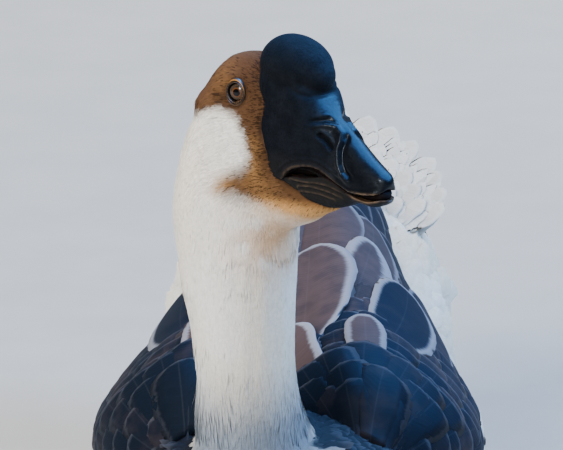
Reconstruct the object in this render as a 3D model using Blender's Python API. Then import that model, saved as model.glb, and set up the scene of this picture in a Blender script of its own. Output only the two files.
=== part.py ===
"""African goose resting on its belly, as a life-size still model in named pieces.

The goose faces -Y with +Z up, and the origin is on the floor under the middle of its belly. Sizes are in
millimetres and become metres where a mesh is made. The flesh is three overlapping lofts, the torso, the
neck and the head, fused and then parted by thin cuts. The wings and the tail are cores that carry their
feathers as curved vanes in overlapping tiers.
"""

import math

import bmesh
import bpy
import numpy as np
from mathutils import Matrix

MM = 0.001
GAP = 0.3  # clear space between pieces that touch
FLAT = math.radians(1.0)
SIDES = {"left": 1, "right": -1}  # the goose's left is +X

# Head. Its own frame has x forward, y to its left and z up from the point between the eyes.
HEAD_AT = (-5.0, -150.0, 343.0)
HEAD_YAW = math.radians(45.0)  # turned towards the goose's left
# x, half width, top, height of the widest line, bottom
HEAD_SECTIONS = (
    (-40, 10, -10, -28, -48),
    (-35, 17, 2, -27, -58),
    (-26, 22.5, 12, -25, -66),
    (-12, 25.5, 18.5, -23, -72),
    (2, 25, 20, -24, -75),
    (14, 22.5, 18.5, -28, -76),
    (24, 20, 16, -32, -74),
    (36, 16, 4, -44, -69),
    (48, 12.5, -20, -52, -61),
    (57, 8, -42, -53, -56),
)
HEAD_POLES = ((-42, 0, -30), (61, 0, -53))
EYE_AT = (0.0, 14.8, 0.0)
EYE_RADIUS = 7.0
EYE_TURN = math.radians(14)  # the eyes look a little forward of sideways
EYE_OPENING = (5.9, 5.3, 5.0)  # half length, half height and depth of the opening between the lids
LID_RADII = (6.7, 6.1)
LID_THICKNESS = 1.15
LID_OUT = 5.9  # how far out from the middle of the eye the lids' rim stands

# Bill and knob, in the head's frame.
BILL_BASE_X = 23.0  # where the feathers of the face end
# x, half width at the edge, culmen, edge, squareness
UPPER_BILL = (
    (23.0, 19.0, 17.0, -38.0, 3.4),
    (30.0, 18.0, 15.0, -36.5, 3.4),
    (40.0, 16.8, 10.0, -33.4, 3.1),
    (48.0, 15.4, 4.0, -32.6, 2.7),
    (57.0, 13.9, -1.5, -36.4, 2.4),
    (69.0, 12.3, -9.0, -39.0, 2.2),
    (79.0, 11.6, -16.0, -40.0, 2.1),
    (90.0, 11.0, -23.5, -38.4, 2.0),
    (98.0, 8.8, -28.8, -36.6, 2.0),
    (102.5, 5.2, -31.6, -35.6, 2.0),
)
UPPER_BILL_TIP = (104.5, 0, -33.6)
KNOB_AT = (28.5, 0, 18.5)
KNOB_RADII = (20.5, 17.0, 18.0)
NOSTRIL_AT = (62.0, 10.8, -15.0)
NOSTRIL_RADII = (5.0, 3.0, 1.6)
NOSTRIL_RIM = 1.2
NAIL_AT = (96.5, 0, -31.5)
NAIL_RADII = (8.0, 6.6, 3.6)
NAIL_TILT = math.radians(24)
NOSTRIL_TILT = math.radians(36)
# x, half width, top, bottom
LOWER_BILL = (
    (25.5, 14.5, -39.6, -44.0),
    (34.0, 15.0, -40.0, -50.5),
    (47.0, 14.2, -40.2, -54.5),
    (58.0, 12.6, -38.8, -55.0),
    (69.0, 11.2, -40.4, -52.5),
    (78.0, 10.6, -41.8, -50.5),
    (87.0, 9.8, -43.6, -49.4),
    (94.0, 7.0, -42.0, -47.0),
)
LOWER_BILL_TIP = (97.5, 0, -42.6)
LOWER_SQUARENESS = 2.8
# Where the feathers of the chin end under the lower half, in its upright middle plane: x, z
CHIN_LINE = ((23.0, -39.0), (33.5, -50.6), (48.0, -54.9), (59.0, -55.4), (140.0, -56.0))

# Neck: the points of its midline from deep in the breast to the head, with half width and half depth.
NECK = (
    (0, -58, 78, 66, 60),
    (-4, -96, 98, 52, 48),
    (-10, -126, 126, 37, 38),
    (-13.5, -140, 152, 30.5, 33),
    (-15, -148, 180, 27.0, 31),
    (-16.5, -150, 212, 28.6, 32),
    (-18, -147, 244, 31.2, 33.5),
    (-19, -141, 272, 33.6, 34.5),
    (-18.5, -138, 298, 30.5, 31),
    (-16, -139, 318, 25.0, 26),
    (-12, -141, 336, 15.0, 17),
)
NECK_CUT = ((-12, -118, 158), (0, -0.42, 0.91))  # a point and the normal of the cut at its root
HEAD_CUT = ((-17, -139, 284), (0.05, -0.12, 0.99))  # the cut under the cheeks

# Torso: y, half width, top, height of the widest line, bottom
TORSO = (
    (-196, 26, 102, 78, 54),
    (-186, 49, 120, 76, 30),
    (-162, 77, 137, 74, 11),
    (-120, 95, 143, 70, 0),
    (-60, 102, 143, 66, -2),
    (0, 104, 145, 66, -2),
    (60, 100, 143, 68, -2),
    (120, 92, 146, 78, 0),
    (170, 86, 154, 94, 12),
    (210, 81, 159, 110, 36),
    (245, 70, 159, 121, 66),
    (268, 48, 153, 130, 96),
)
TORSO_POLES = ((0, -200, 78), (0, 283, 136))
TORSO_SQUARENESS = (2.15, 2.5)  # of the upper and the lower half

# Wing: y, then x and z of the inner edge, the crest, the outermost line and the lower edge
WING = (
    (-112, 38, 126, 47, 134, 63, 114, 57, 98),
    (-96, 24, 138, 46, 155, 82, 116, 77, 88),
    (-62, 2, 149, 45, 167, 99, 112, 95, 78),
    (0, 1, 156, 42, 168, 106.5, 104, 103, 72),
    (60, 1, 163, 36, 170, 94, 106, 91, 80),
    (120, 1, 169, 28, 174, 73, 118, 71, 98),
    (180, 1, 173, 20, 176, 52, 138, 51, 123),
    (230, 1, 177, 14, 180, 40, 156, 38, 147),
    (262, 1, 181, 10, 183, 28, 170, 27, 164),
)
WING_POLES = ((48, -118, 114), (13, 280, 177))
WING_DEPTH = 26  # how far the core reaches in before the torso trims it

# Tail: a fan on a roof-shaped surface that rises from its root
TAIL_ROOT = (0, 232, 136)
TAIL_SLOPE = (0.50, 0.28)  # rise for each millimetre out, on the midline and at the fan's sides
TAIL_SPREAD = math.radians(78)
TAIL_CORE_AT = (0, 243, 131)
TAIL_CORE_RADII = (71, 37, 27)
# count, spread, first and last distance from the root on the midline, the same at the sides, width, heights of
# root and tip
TAIL_TIERS = (
    (4, 0.84, (34, 80), (50, 76), 50, (-22, -6.5)),
    (5, 0.96, (34, 94), (46, 79), 48, (-13, -3)),
    (9, 1.00, (30, 112), (40, 80), 38, (-4, 0.5)),
    (4, 0.66, (26, 62), (30, 60), 36, (-2, 4.5)),
)

# Wing feathers in tiers: first the flight feathers and the long ones over them, then the coverts up to the shoulder:
# count, v of the first and last, y of the roots and tips there, width, height of the tips
WING_TIERS = (
    (4, (0.36, 0.88), (122, 280), (76, 192), 24, 2.8),
    (4, (0.62, 0.94), (-12, 166), (-20, 104), 31, 2.8),
    (3, (0.15, 0.48), (30, 196), (6, 150), 40, 4.6),
    (2, (0.13, 0.34), (-4, 128), (-14, 96), 40, 6.6),
    (4, (0.48, 0.93), (-36, 38), (-36, 30), 37, 5.0),
    (2, (0.14, 0.36), (-42, 66), (-44, 44), 40, 8.6),
    (4, (0.42, 0.92), (-56, -10), (-54, -8), 34, 5.6),
    (2, (0.13, 0.33), (-76, 2), (-70, -12), 35, 8.0),
    (3, (0.34, 0.86), (-74, -38), (-72, -36), 38, 4.8),
    (3, (0.28, 0.84), (-90, -59), (-88, -57), 34, 4.2),
    (2, (0.38, 0.72), (-103, -78), (-101, -76), 34, 3.4),
)
# A vane: stations along it and across it as shares, its thickness and its bends
LONG_VANE = (np.array([0, 0.4, 0.82, 1.0]), np.array([-1.0, 0.0, 1.0]))  # stations along and across
SHORT_VANE = (np.array([0, 0.5, 0.85, 1.0]), np.array([-1.0, 1.0]))
VANE_THICKNESS = 0.8
VANE_CAMBER = 0.05  # rise of the quill line, as a share of the half width
VANE_LAP = 1.2  # how far one edge of a vane lies over its neighbour
ROOT_DEPTH = 2.0
CLEAR_HEIGHT = 1.9
RISE_AT = (0, 0.34, 1)  # shares of its length where a vane is sunk, clear of the core and at its full height

# Legs and feet, folded forward on the floor under the flanks, for the left side
TARSUS = ((62, 112, 9, 6.5), (61, 92, 9, 6.2), (60, 66, 8.5, 6.0), (59.5, 47, 8, 6.8))  # x, y, z, radius
FOOT_AT = (59, 32, 0)
FOOT_ROOT = ((0, 4.5, 6.4, 5.2), (0, -1, 6.2, 7.0), (0, -8, 4.6, 6.0))  # x, y from FOOT_AT, z, radius
FOOT_ROOM = ((66, -9, 1), (48, 57, 14))  # middle and radii of the hollow of the flank above the toes
# For each toe: the heading from straight ahead, length, radius at the root and at the tip
TOES = ((-24, 68, 5.2, 3.6), (2, 82, 5.4, 3.8), (30, 70, 5.0, 3.4))
HIND_TOE = (100, 20, 3.6, 2.6)
WEB_THICKNESS = 2.6
WEB_REACH = 0.84  # of the toes' length
CLAW = (9, 2.6)  # length, radius

COLOURS = {
    "white": ((0.80, 0.77, 0.70), 0.85),
    "face": ((0.42, 0.25, 0.13), 0.85),
    "wing": ((0.11, 0.10, 0.105), 0.8),
    "bill": ((0.012, 0.014, 0.02), 0.35),
    "iris": ((0.20, 0.12, 0.05), 0.15),
    "foot": ((0.72, 0.27, 0.05), 0.55),
}


# ---------------------------------------------------------------- curves and meshes


def smooth(knots, values, at):
    """Rows of a smooth curve through values at the knots, read at the places `at`."""
    knots, values, at = (np.asarray(a, float) for a in (knots, values, at))
    values = values.reshape(len(knots), -1)
    step = np.diff(knots)[:, None]
    slope = np.diff(values, axis=0) / step
    tangent = np.empty_like(values)
    tangent[1:-1] = (slope[:-1] * step[1:] + slope[1:] * step[:-1]) / (step[:-1] + step[1:])
    tangent[0], tangent[-1] = slope[0], slope[-1]
    i = np.clip(np.searchsorted(knots, at.ravel(), side="right") - 1, 0, len(knots) - 2)
    h = step[i]
    t = ((at.ravel() - knots[i])[:, None]) / h
    out = (
        (2 * t**3 - 3 * t**2 + 1) * values[i]
        + (t**3 - 2 * t**2 + t) * h * tangent[i]
        + (3 * t**2 - 2 * t**3) * values[i + 1]
        + (t**3 - t**2) * h * tangent[i + 1]
    )
    return out.reshape(at.shape + (values.shape[1],))


def mesh_object(name, points, faces):
    """A mesh object of those points, in millimetres, with its faces turned outwards."""
    mesh = bpy.data.meshes.new(name)
    mesh.from_pydata([tuple(p) for p in np.asarray(points) * MM], [], faces)
    work = bmesh.new()
    work.from_mesh(mesh)
    bmesh.ops.recalc_face_normals(work, faces=work.faces)
    if work.calc_volume(signed=True) < 0:
        bmesh.ops.reverse_faces(work, faces=work.faces)
    work.to_mesh(mesh)
    work.free()
    obj = bpy.data.objects.new(name, mesh)
    bpy.context.scene.collection.objects.link(obj)
    return obj


def loft(name, rings, first, last):
    """A closed mesh through rings of equal counts, drawn to a point at each end."""
    rings = np.asarray(rings, float)
    count, around = rings.shape[:2]
    points = np.vstack([rings.reshape(-1, 3), [first, last]])
    faces = []
    for r in range(count - 1):
        for k in range(around):
            a, b = r * around + k, r * around + (k + 1) % around
            faces.append((a, b, b + around, a + around))
    for k in range(around):
        following = (k + 1) % around
        faces.append((following, k, count * around))
        faces.append(((count - 1) * around + k, (count - 1) * around + following, count * around + 1))
    return mesh_object(name, points, faces)


def superellipse(around, squareness):
    """Unit points (across, up) of a superellipse, from +across round through up."""
    turn = np.arange(around) * 2 * np.pi / around
    c, s = np.cos(turn), np.sin(turn)
    power = 2 / squareness
    return np.sign(c) * np.abs(c) ** power, np.sign(s) * np.abs(s) ** power


def fuse(obj, pieces, operation="UNION"):
    """Applies one Boolean of the pieces to obj, removes them, and keeps obj's largest closed surface."""
    if not pieces:
        return obj
    group = bpy.data.collections.new("operands")
    bpy.context.scene.collection.children.link(group)
    for piece in pieces:
        group.objects.link(piece)
    modifier = obj.modifiers.new("join", "BOOLEAN")
    modifier.operation = operation
    modifier.operand_type = "COLLECTION"
    modifier.collection = group
    modifier.solver = "MANIFOLD"
    graph = bpy.context.evaluated_depsgraph_get()
    graph.update()
    result = bpy.data.meshes.new_from_object(obj.evaluated_get(graph))
    obj.modifiers.remove(modifier)
    obj.data = result
    for piece in pieces:
        bpy.data.objects.remove(piece)
    bpy.data.collections.remove(group)
    keep_largest(obj)
    return obj


def keep_largest(obj):
    """Drops every closed surface of obj but its largest, and joins the flat triangles that a Boolean leaves."""
    work = bmesh.new()
    work.from_mesh(obj.data)
    bmesh.ops.dissolve_limit(work, angle_limit=FLAT, verts=work.verts, edges=work.edges)
    bmesh.ops.triangulate(work, faces=work.faces)
    left, best, best_size = set(work.faces), None, -1.0
    while left:
        island, stack = set(), [left.pop()]
        while stack:
            face = stack.pop()
            island.add(face)
            for edge in (e for e in face.edges if len(e.link_faces) == 2):
                for other in edge.link_faces:
                    if other in left:
                        left.remove(other)
                        stack.append(other)
        size = sum(f.calc_area() for f in island)
        if size > best_size:
            best, best_size = island, size
    bmesh.ops.delete(work, geom=[f for f in work.faces if f not in best], context="FACES")
    work.to_mesh(obj.data)
    work.free()


def sliced(obj, name, point, normal, below):
    """A copy of obj on one side of a plane, half a gap clear of it, with the cut closed."""
    away = np.asarray(normal, float) / np.linalg.norm(normal)
    at = np.asarray(point, float) + away * (-GAP / 2 if below else GAP / 2)
    work = bmesh.new()
    work.from_mesh(obj.data)
    cut = bmesh.ops.bisect_plane(
        work,
        geom=work.verts[:] + work.edges[:] + work.faces[:],
        plane_co=at * MM,
        plane_no=away,
        clear_outer=below,
        clear_inner=not below,
        dist=1e-7,
    )
    rim = [g for g in cut["geom_cut"] if isinstance(g, bmesh.types.BMEdge) and g.is_boundary]
    bmesh.ops.triangle_fill(work, edges=rim, use_beauty=True)
    bmesh.ops.recalc_face_normals(work, faces=work.faces)
    mesh = bpy.data.meshes.new(name)
    work.to_mesh(mesh)
    work.free()
    out = bpy.data.objects.new(name, mesh)
    bpy.context.scene.collection.objects.link(out)
    return out


def removed(obj):
    bpy.data.objects.remove(obj)


# ---------------------------------------------------------------- flesh


def head_to_world(points):
    """Points of the head's own frame, in the goose's frame."""
    p = np.asarray(points, float)
    s, c = math.sin(HEAD_YAW), math.cos(HEAD_YAW)
    forward, left = np.array([s, -c, 0]), np.array([c, s, 0])
    return np.array(HEAD_AT) + p[..., :1] * forward + p[..., 1:2] * left + p[..., 2:] * np.array([0, 0, 1.0])


def head_rings(around=20, rings=14, grow=0.0):
    """Sections of the head from the nape to the chin, in its own frame."""
    table = np.array(HEAD_SECTIONS, float)
    x = np.linspace(table[0, 0], table[-1, 0], rings)
    half, top, wide, bottom = smooth(table[:, 0], table[:, 1:], x).T
    across, up = superellipse(around, 2.1)
    z = np.where(up > 0, up * (top - wide + grow)[:, None], up * (wide - bottom + grow)[:, None]) + wide[:, None]
    return np.stack([np.broadcast_to(x[:, None], z.shape), across * (half + grow)[:, None], z], axis=2)


def head_loft(name):
    poles = head_to_world(HEAD_POLES)
    return loft(name, head_to_world(head_rings()), *poles)


def neck_rings(around=24, rings=14, grow=0.0):
    """Sections square to the neck's midline."""
    table = np.array(NECK, float)
    station = np.arange(len(table))
    at = np.linspace(0, len(table) - 1, rings)
    points = smooth(station, table, at)
    middle = points[:, :3]
    tangent = np.gradient(middle, axis=0)
    tangent /= np.linalg.norm(tangent, axis=1)[:, None]
    side = np.cross(np.cross(tangent, [1.0, 0, 0]), tangent)
    side /= np.linalg.norm(side, axis=1)[:, None]
    front = np.cross(tangent, side)
    across, up = superellipse(around, 2.0)
    half, depth = points[:, 3] + grow, points[:, 4] + grow
    return (
        middle[:, None]
        + side[:, None] * (across * half[:, None])[..., None]
        + front[:, None] * (up * depth[:, None])[..., None]
    ), middle


def neck_loft(name, grow=0.0):
    rings, middle = neck_rings(grow=grow)
    return loft(name, rings, middle[0], middle[-1])


def torso_rings(around=32, rings=21, grow=0.0):
    """Upright sections of the torso from breast to vent."""
    table = np.array(TORSO, float)
    share = np.linspace(0, 1, rings)
    share = 0.45 * share + 0.55 * (1 - np.cos(np.pi * share)) / 2  # closer at the ends
    y = table[0, 0] + (table[-1, 0] - table[0, 0]) * share
    half, top, wide, bottom = smooth(table[:, 0], table[:, 1:], y).T
    upper, lower = (superellipse(around, power) for power in TORSO_SQUARENESS)
    high = np.arange(around) <= around // 2
    across, up = (np.where(high, a, b) for a, b in zip(upper, lower))
    z = np.where(up > 0, up * (top - wide + grow)[:, None], up * (wide - bottom + grow)[:, None]) + wide[:, None]
    return np.stack([across * (half + grow)[:, None], np.broadcast_to(y[:, None], z.shape), z], axis=2)


def torso_loft(name, grow=0.0):
    front, back = (np.array(p, float) for p in TORSO_POLES)
    return loft(name, torso_rings(grow=grow), front - [0, grow, 0], back + [0, grow, 0])


def trimmed(obj, point, normal):
    """Cuts off what lies behind a plane, half a gap clear of it."""
    out = sliced(obj, obj.name + "_cut", point, normal, below=False)
    obj.data = out.data
    removed(out)
    keep_largest(obj)
    return obj


def floor_cut(obj):
    """Trims obj flat at the floor."""
    return trimmed(obj, (0, 0, -GAP / 2), (0, 0, 1))


# ---------------------------------------------------------------- wings


def wing_surface(y, v):
    """Points of the left wing's outer face: y along the body, v from 0 at the spine to 1 at the lower edge."""
    table = np.array(WING, float)
    rows = smooth(table[:, 0], table[:, 1:], y)
    x = smooth((0, 0.34, 0.78, 1), np.eye(4), v)
    across = (rows[..., 0::2] * x).sum(-1)
    height = (rows[..., 1::2] * x).sum(-1)
    return np.stack([across, np.broadcast_to(y, across.shape), height], axis=-1)


def wing_normal(y, v):
    """Outward unit normals of the wing's outer face."""
    d = 1e-3
    along = wing_surface(y + 1.0, v) - wing_surface(y - 1.0, v)
    across = wing_surface(y, np.clip(v + d, 0, 1)) - wing_surface(y, np.clip(v - d, 0, 1))
    n = np.cross(across, along)
    n /= np.linalg.norm(n, axis=-1)[..., None]
    return np.where((n[..., 2] < 0)[..., None] & (v < 0.5)[..., None], -n, n)


def wing_core(name, grow=0.0, under=0.0):
    """The wing under its feathers: the outer face, closed behind by a curve deep in the torso."""
    table = np.array(WING, float)
    y = np.linspace(table[0, 0], table[-1, 0], 13)
    v = np.linspace(0, 1, 8)
    at = np.meshgrid(y, v, indexing="ij")
    face = wing_surface(*at)
    outer = face + wing_normal(*at) * grow
    back = np.linspace(1, 0, 5)[1:-1]
    chord = face[:, -1:] * back[None, :, None] + face[:, :1] * (1 - back)[None, :, None]
    bulge = np.sin(back * np.pi)[None, :, None] * np.array([0.35, 0, -1.0]) * WING_DEPTH
    size = np.clip((face[:, 4, 2] - face[:, -1, 2]) / 40, 0.1, 1)[:, None, None]
    below = np.array([0.35, 0, -1.0]) * under
    rings = np.concatenate([outer, chord + bulge * size + below], axis=1)
    return loft(name, rings, *np.array(WING_POLES, float))


def quads_of(along, across, base=0):
    """Quads of a grid of points, row by row."""
    return [
        (base + i * across + k, base + i * across + k + 1, base + (i + 1) * across + k + 1, base + (i + 1) * across + k)
        for i in range(along - 1)
        for k in range(across - 1)
    ]


def vane(name, middle, normal, thickness):
    """A closed thin vane about a grid of middle points, its two faces split into triangles alike."""
    along, across = middle.shape[:2]
    count = along * across
    half = normal * thickness / 2
    points = np.vstack([(middle + half).reshape(-1, 3), (middle - half).reshape(-1, 3)])
    faces = []
    for a, b, c, d in quads_of(along, across):
        faces += [(a, b, c), (a, c, d), (count + a, count + c, count + b), (count + a, count + d, count + c)]
    rim = (
        list(range(across))
        + [i * across + across - 1 for i in range(1, along)]
        + [(along - 1) * across + k for k in range(across - 2, -1, -1)]
        + [i * across for i in range(along - 2, 0, -1)]
    )
    for a, b in zip(rim, rim[1:] + rim[:1]):
        faces += [(a, count + a, b), (b, count + a, count + b)]
    return mesh_object(name, points, faces)


def vane_outline(s):
    """Half width of a vane, as a share of its widest, at the shares s of its length: a narrow root and a round tip."""
    body = 0.55 + 0.45 * np.clip(s / 0.5, 0, 1) ** 0.8
    tip = np.sqrt(np.clip(1 - (np.clip(s - 0.7, 0, 1) / 0.318) ** 2, 0, 1))
    return body * tip


def wing_vanes(prefix):
    """Every feather of the left wing's tiers, rooted in its core."""
    vanes = []
    for tier, (count, (v0, v1), inner, outer, width, height) in enumerate(WING_TIERS):
        for i, share in enumerate(np.linspace(0, 1, count)):
            v = v0 + (v1 - v0) * share
            root, tip = ((1 - share) * np.array(inner) + share * np.array(outer))
            s, across = LONG_VANE if tip - root > 60 else SHORT_VANE
            y = root + (tip - root) * s
            girth = np.linalg.norm(np.diff(wing_surface(*np.meshgrid(y, np.linspace(0, 1, 25), indexing="ij")), axis=1), axis=2).sum(1)
            half = width / 2 * vane_outline(s)
            at_v = np.clip(v + (half / girth)[:, None] * across, 0.004, 1)
            at_y = y[:, None] + 0 * at_v
            lift = np.interp(s, RISE_AT, (-ROOT_DEPTH, CLEAR_HEIGHT, height))[:, None]
            lift = lift + VANE_CAMBER * half[:, None] * (1 - across**2) - VANE_LAP * across
            normal = wing_normal(at_y, at_v)
            middle = wing_surface(at_y, at_v) + normal * lift[..., None]
            vanes.append(vane(f"{prefix}_{tier}_{i}", middle, normal, VANE_THICKNESS))
    return vanes


def mirrored(obj, name):
    """The same piece on the goose's right."""
    mesh = obj.data.copy()
    out = bpy.data.objects.new(name, mesh)
    bpy.context.scene.collection.objects.link(out)
    mesh.transform(Matrix.Scale(-1, 4, (1, 0, 0)))
    mesh.flip_normals()
    return out


# ---------------------------------------------------------------- tail


def tail_surface(x, y, height):
    """Points of the roof-shaped fan over (x, y), raised by height."""
    out = np.hypot(x, y - TAIL_ROOT[1])
    angle = np.arctan2(x, y - TAIL_ROOT[1]) / TAIL_SPREAD
    slope = TAIL_SLOPE[0] + (TAIL_SLOPE[1] - TAIL_SLOPE[0]) * np.clip(angle**2, 0, 1.3)
    return np.stack([x, y, TAIL_ROOT[2] + out * slope + height], axis=-1)


def tail_vanes():
    """The tail's feathers and coverts, from below up."""
    vanes = []
    for tier, (count, spread, middle_run, side_run, width, (low, high)) in enumerate(TAIL_TIERS):
        for i, share in enumerate(np.linspace(-1, 1, count)):
            angle = share * spread * TAIL_SPREAD
            first, last = (1 - abs(share)) * np.array(middle_run) + abs(share) * np.array(side_run)
            s, across = LONG_VANE if last - first > 55 else SHORT_VANE
            out = (first + (last - first) * s)[:, None]
            half = (width / 2 * vane_outline(s))[:, None]
            x = out * math.sin(angle) + half * across * math.cos(angle)
            y = TAIL_ROOT[1] + out * math.cos(angle) - half * across * math.sin(angle)
            lift = VANE_CAMBER * half * (1 - across**2) - VANE_LAP * across * np.sign(share) - 1.6 * abs(share)
            middle = tail_surface(x, y, low + (high - low) * s[:, None] + lift)
            normal = np.zeros_like(middle) + np.array([0, -math.sin(0.35), math.cos(0.35)])
            vanes.append(vane(f"tail_{tier}_{i}", middle, normal, VANE_THICKNESS))
    return vanes


def ellipsoid(name, at, radii, around=24, rings=14, turn=None):
    """An ellipsoid, turned by a matrix about its centre."""
    work = bmesh.new()
    bmesh.ops.create_uvsphere(work, u_segments=around, v_segments=rings, radius=1)
    points = np.array([v.co for v in work.verts]) * np.asarray(radii, float)
    if turn is not None:
        points = points @ np.asarray(turn, float).T
    for v, p in zip(work.verts, (points + np.asarray(at, float)) * MM):
        v.co = p
    mesh = bpy.data.meshes.new(name)
    work.to_mesh(mesh)
    work.free()
    obj = bpy.data.objects.new(name, mesh)
    bpy.context.scene.collection.objects.link(obj)
    return obj


def tail_core(name, grow=0.0):
    turn = np.array(Matrix.Rotation(math.atan(TAIL_SLOPE[0]), 3, "X"))
    return ellipsoid(name, TAIL_CORE_AT, np.array(TAIL_CORE_RADII) + grow, turn=turn)


# ---------------------------------------------------------------- bill


def bill_rings(table, upper, around=18, rings=13, grow=0.0):
    """Sections of one half of the bill: a domed upper half or a keeled lower one, flat at the mouth."""
    table = np.array(table, float)
    x = smooth(np.arange(len(table)), table[:, 0], np.linspace(0, len(table) - 1, rings)).ravel()
    rows = smooth(table[:, 0], table[:, 1:], x)
    turn = np.linspace(0, np.pi, around - 5)
    c, s = np.cos(turn), np.sin(turn)
    out = []
    for place, row in zip(x, rows):
        half = row[0] + grow
        edge, crown, square = (row[2], row[1], row[3]) if upper else (row[1], row[2], LOWER_SQUARENESS)
        edge, crown = (edge - grow, crown + grow) if upper else (edge + grow, crown - grow)
        power = 2 / square
        y = np.sign(c) * np.abs(c) ** power * half
        z = edge + (crown - edge) * np.abs(s) ** power
        flat = np.linspace(-1, 1, 7)[1:-1] * half
        roof = edge + (1.5 if upper else -1.0) * (1 - (flat / half) ** 2)
        out.append(np.stack([np.full(around, place), np.concatenate([y, flat]), np.concatenate([z, roof])], axis=1))
    return np.array(out)


def bill_loft(name, table, tip, upper, grow=0.0):
    rings = bill_rings(table, upper, grow=grow)
    back = rings[0].mean(0)
    return loft(name, head_to_world(rings), head_to_world(back), head_to_world(np.array(tip, float)))


def head_turn():
    return np.array(Matrix.Rotation(HEAD_YAW - math.pi / 2, 3, "Z"))


def in_head(name, at, radii, pitch=0.0, yaw=0.0, **shape):
    """An ellipsoid placed and turned in the head's frame."""
    turn = head_turn() @ np.array(Matrix.Rotation(yaw, 3, "Z") @ Matrix.Rotation(pitch, 3, "Y"))
    return ellipsoid(name, head_to_world(np.array(at, float)), radii, turn=turn, **shape)


def prism(name, outline, half_width):
    """A block with an outline in the head's upright middle plane, as wide as given to each side."""
    outline = np.array(outline, float)
    count = len(outline)
    points = np.vstack([np.insert(outline, 1, y, axis=1) for y in (-half_width, half_width)])
    faces = [tuple(range(count)), tuple(range(2 * count - 1, count - 1, -1))]
    faces += [(i, (i + 1) % count, count + (i + 1) % count, count + i) for i in range(count)]
    return mesh_object(name, head_to_world(points), faces)


def bills():
    """The two halves of the bill, the knob fused with the upper one."""
    upper = bill_loft("bill_upper", UPPER_BILL, UPPER_BILL_TIP, True)
    rims = [
        in_head("rim", (NOSTRIL_AT[0], side * (NOSTRIL_AT[1] - 1.0), NOSTRIL_AT[2]),
                np.array(NOSTRIL_RADII) + NOSTRIL_RIM, pitch=NOSTRIL_TILT, around=10, rings=6)
        for side in SIDES.values()
    ]
    nail = in_head("nail", NAIL_AT, NAIL_RADII, pitch=NAIL_TILT, around=10, rings=6)
    fuse(upper, [in_head("knob", KNOB_AT, KNOB_RADII, around=20, rings=11), nail, *rims])
    fuse(upper, [
        in_head("hole", (NOSTRIL_AT[0], side * (NOSTRIL_AT[1] + 1.2), NOSTRIL_AT[2]),
                NOSTRIL_RADII, pitch=NOSTRIL_TILT, around=10, rings=6)
        for side in SIDES.values()
    ], "DIFFERENCE")
    lower = bill_loft("bill_lower", LOWER_BILL, LOWER_BILL_TIP, False)
    return upper, lower


def lid_ring(side):
    """The swollen rim of the lids round one eye."""
    count, sides = 14, 5
    turn = np.arange(count) * 2 * np.pi / count
    spin = np.arange(sides) * 2 * np.pi / sides
    reach = np.cos(spin) * LID_THICKNESS
    rise = np.sin(spin) * LID_THICKNESS
    ring = np.stack([
        np.cos(turn)[:, None] * (LID_RADII[0] + reach),
        LID_OUT + np.broadcast_to(rise, (count, sides)),
        np.sin(turn)[:, None] * (LID_RADII[1] + reach),
    ], axis=-1)
    return torus(f"lid_{side}", place_by_eye(ring, side))


def place_by_eye(points, side):
    """Points of an eye's own frame (x forward, y outwards, z up), in the goose's frame."""
    c, s = math.cos(EYE_TURN), math.sin(EYE_TURN)
    x = points[..., 0] * c + points[..., 1] * s
    y = (points[..., 1] * c - points[..., 0] * s) * side
    return head_to_world(np.stack([x, y, points[..., 2]], axis=-1) + np.array(EYE_AT) * (1, side, 1))


def torus(name, rings):
    """A closed ring through sections of equal counts."""
    count, around = rings.shape[:2]
    faces = [
        (i * around + k, i * around + (k + 1) % around,
         (i + 1) % count * around + (k + 1) % around, (i + 1) % count * around + k)
        for i in range(count)
        for k in range(around)
    ]
    return mesh_object(name, rings.reshape(-1, 3), faces)


def eye_cut(side):
    """What is taken out of the head for one eye: its ball and the opening between the lids."""
    ball = in_head("ball", np.array(EYE_AT) * (1, side, 1), (EYE_RADIUS + 1.5 * GAP,) * 3, around=14, rings=8)
    unit = np.array([(math.cos(a) * math.cos(b), math.sin(b), math.sin(a) * math.cos(b))
                     for b in np.linspace(-1.1, 1.1, 4) for a in np.arange(12) * math.pi / 6]).reshape(4, 12, 3)
    at = unit * np.array([EYE_OPENING[0], EYE_OPENING[2], EYE_OPENING[1]]) + [0, EYE_RADIUS + 1.0, 0]
    rings = place_by_eye(at, side)
    first, last = rings[0].mean(0), rings[-1].mean(0)
    return [ball, loft("opening", rings, first, last)]


def softened(obj, centre, reach, times=10):
    """Evens out the crease where two lofts meet, within reach of a point."""
    work = bmesh.new()
    work.from_mesh(obj.data)
    bmesh.ops.remove_doubles(work, verts=work.verts, dist=0.6 * MM)
    centre = np.array(centre, float) * MM
    near = []
    for v in work.verts:
        weight = 1 - np.linalg.norm(np.array(v.co) - centre) / (reach * MM)
        if weight > 0:
            near.append((v, min(1.0, 2 * weight)))
    for _ in range(times):
        moved = [(v, v.co.lerp(sum((e.other_vert(v).co for e in v.link_edges), v.co * 0) / len(v.link_edges), 0.5 * w))
                 for v, w in near]
        for v, co in moved:
            v.co = co
    bmesh.ops.triangulate(work, faces=work.faces)
    work.to_mesh(obj.data)
    work.free()


# ---------------------------------------------------------------- legs


def tapered(name, points, around=9):
    """A round limb through (x, y, z, radius), with rounded ends."""
    table = np.array(points, float)
    middle, radius = table[:, :3], table[:, 3]
    tangent = np.gradient(middle, axis=0)
    tangent /= np.linalg.norm(tangent, axis=1)[:, None]
    side = np.cross(tangent, [0, 0, 1.0])
    side /= np.linalg.norm(side, axis=1)[:, None]
    top = np.cross(side, tangent)
    turn = np.arange(around) * 2 * np.pi / around
    rings = middle[:, None] + radius[:, None, None] * (
        np.cos(turn)[None, :, None] * side[:, None] + np.sin(turn)[None, :, None] * top[:, None]
    )
    return loft(name, rings, middle[0] - tangent[0] * radius[0] * 0.6, middle[-1] + tangent[-1] * radius[-1] * 0.6)


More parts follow.
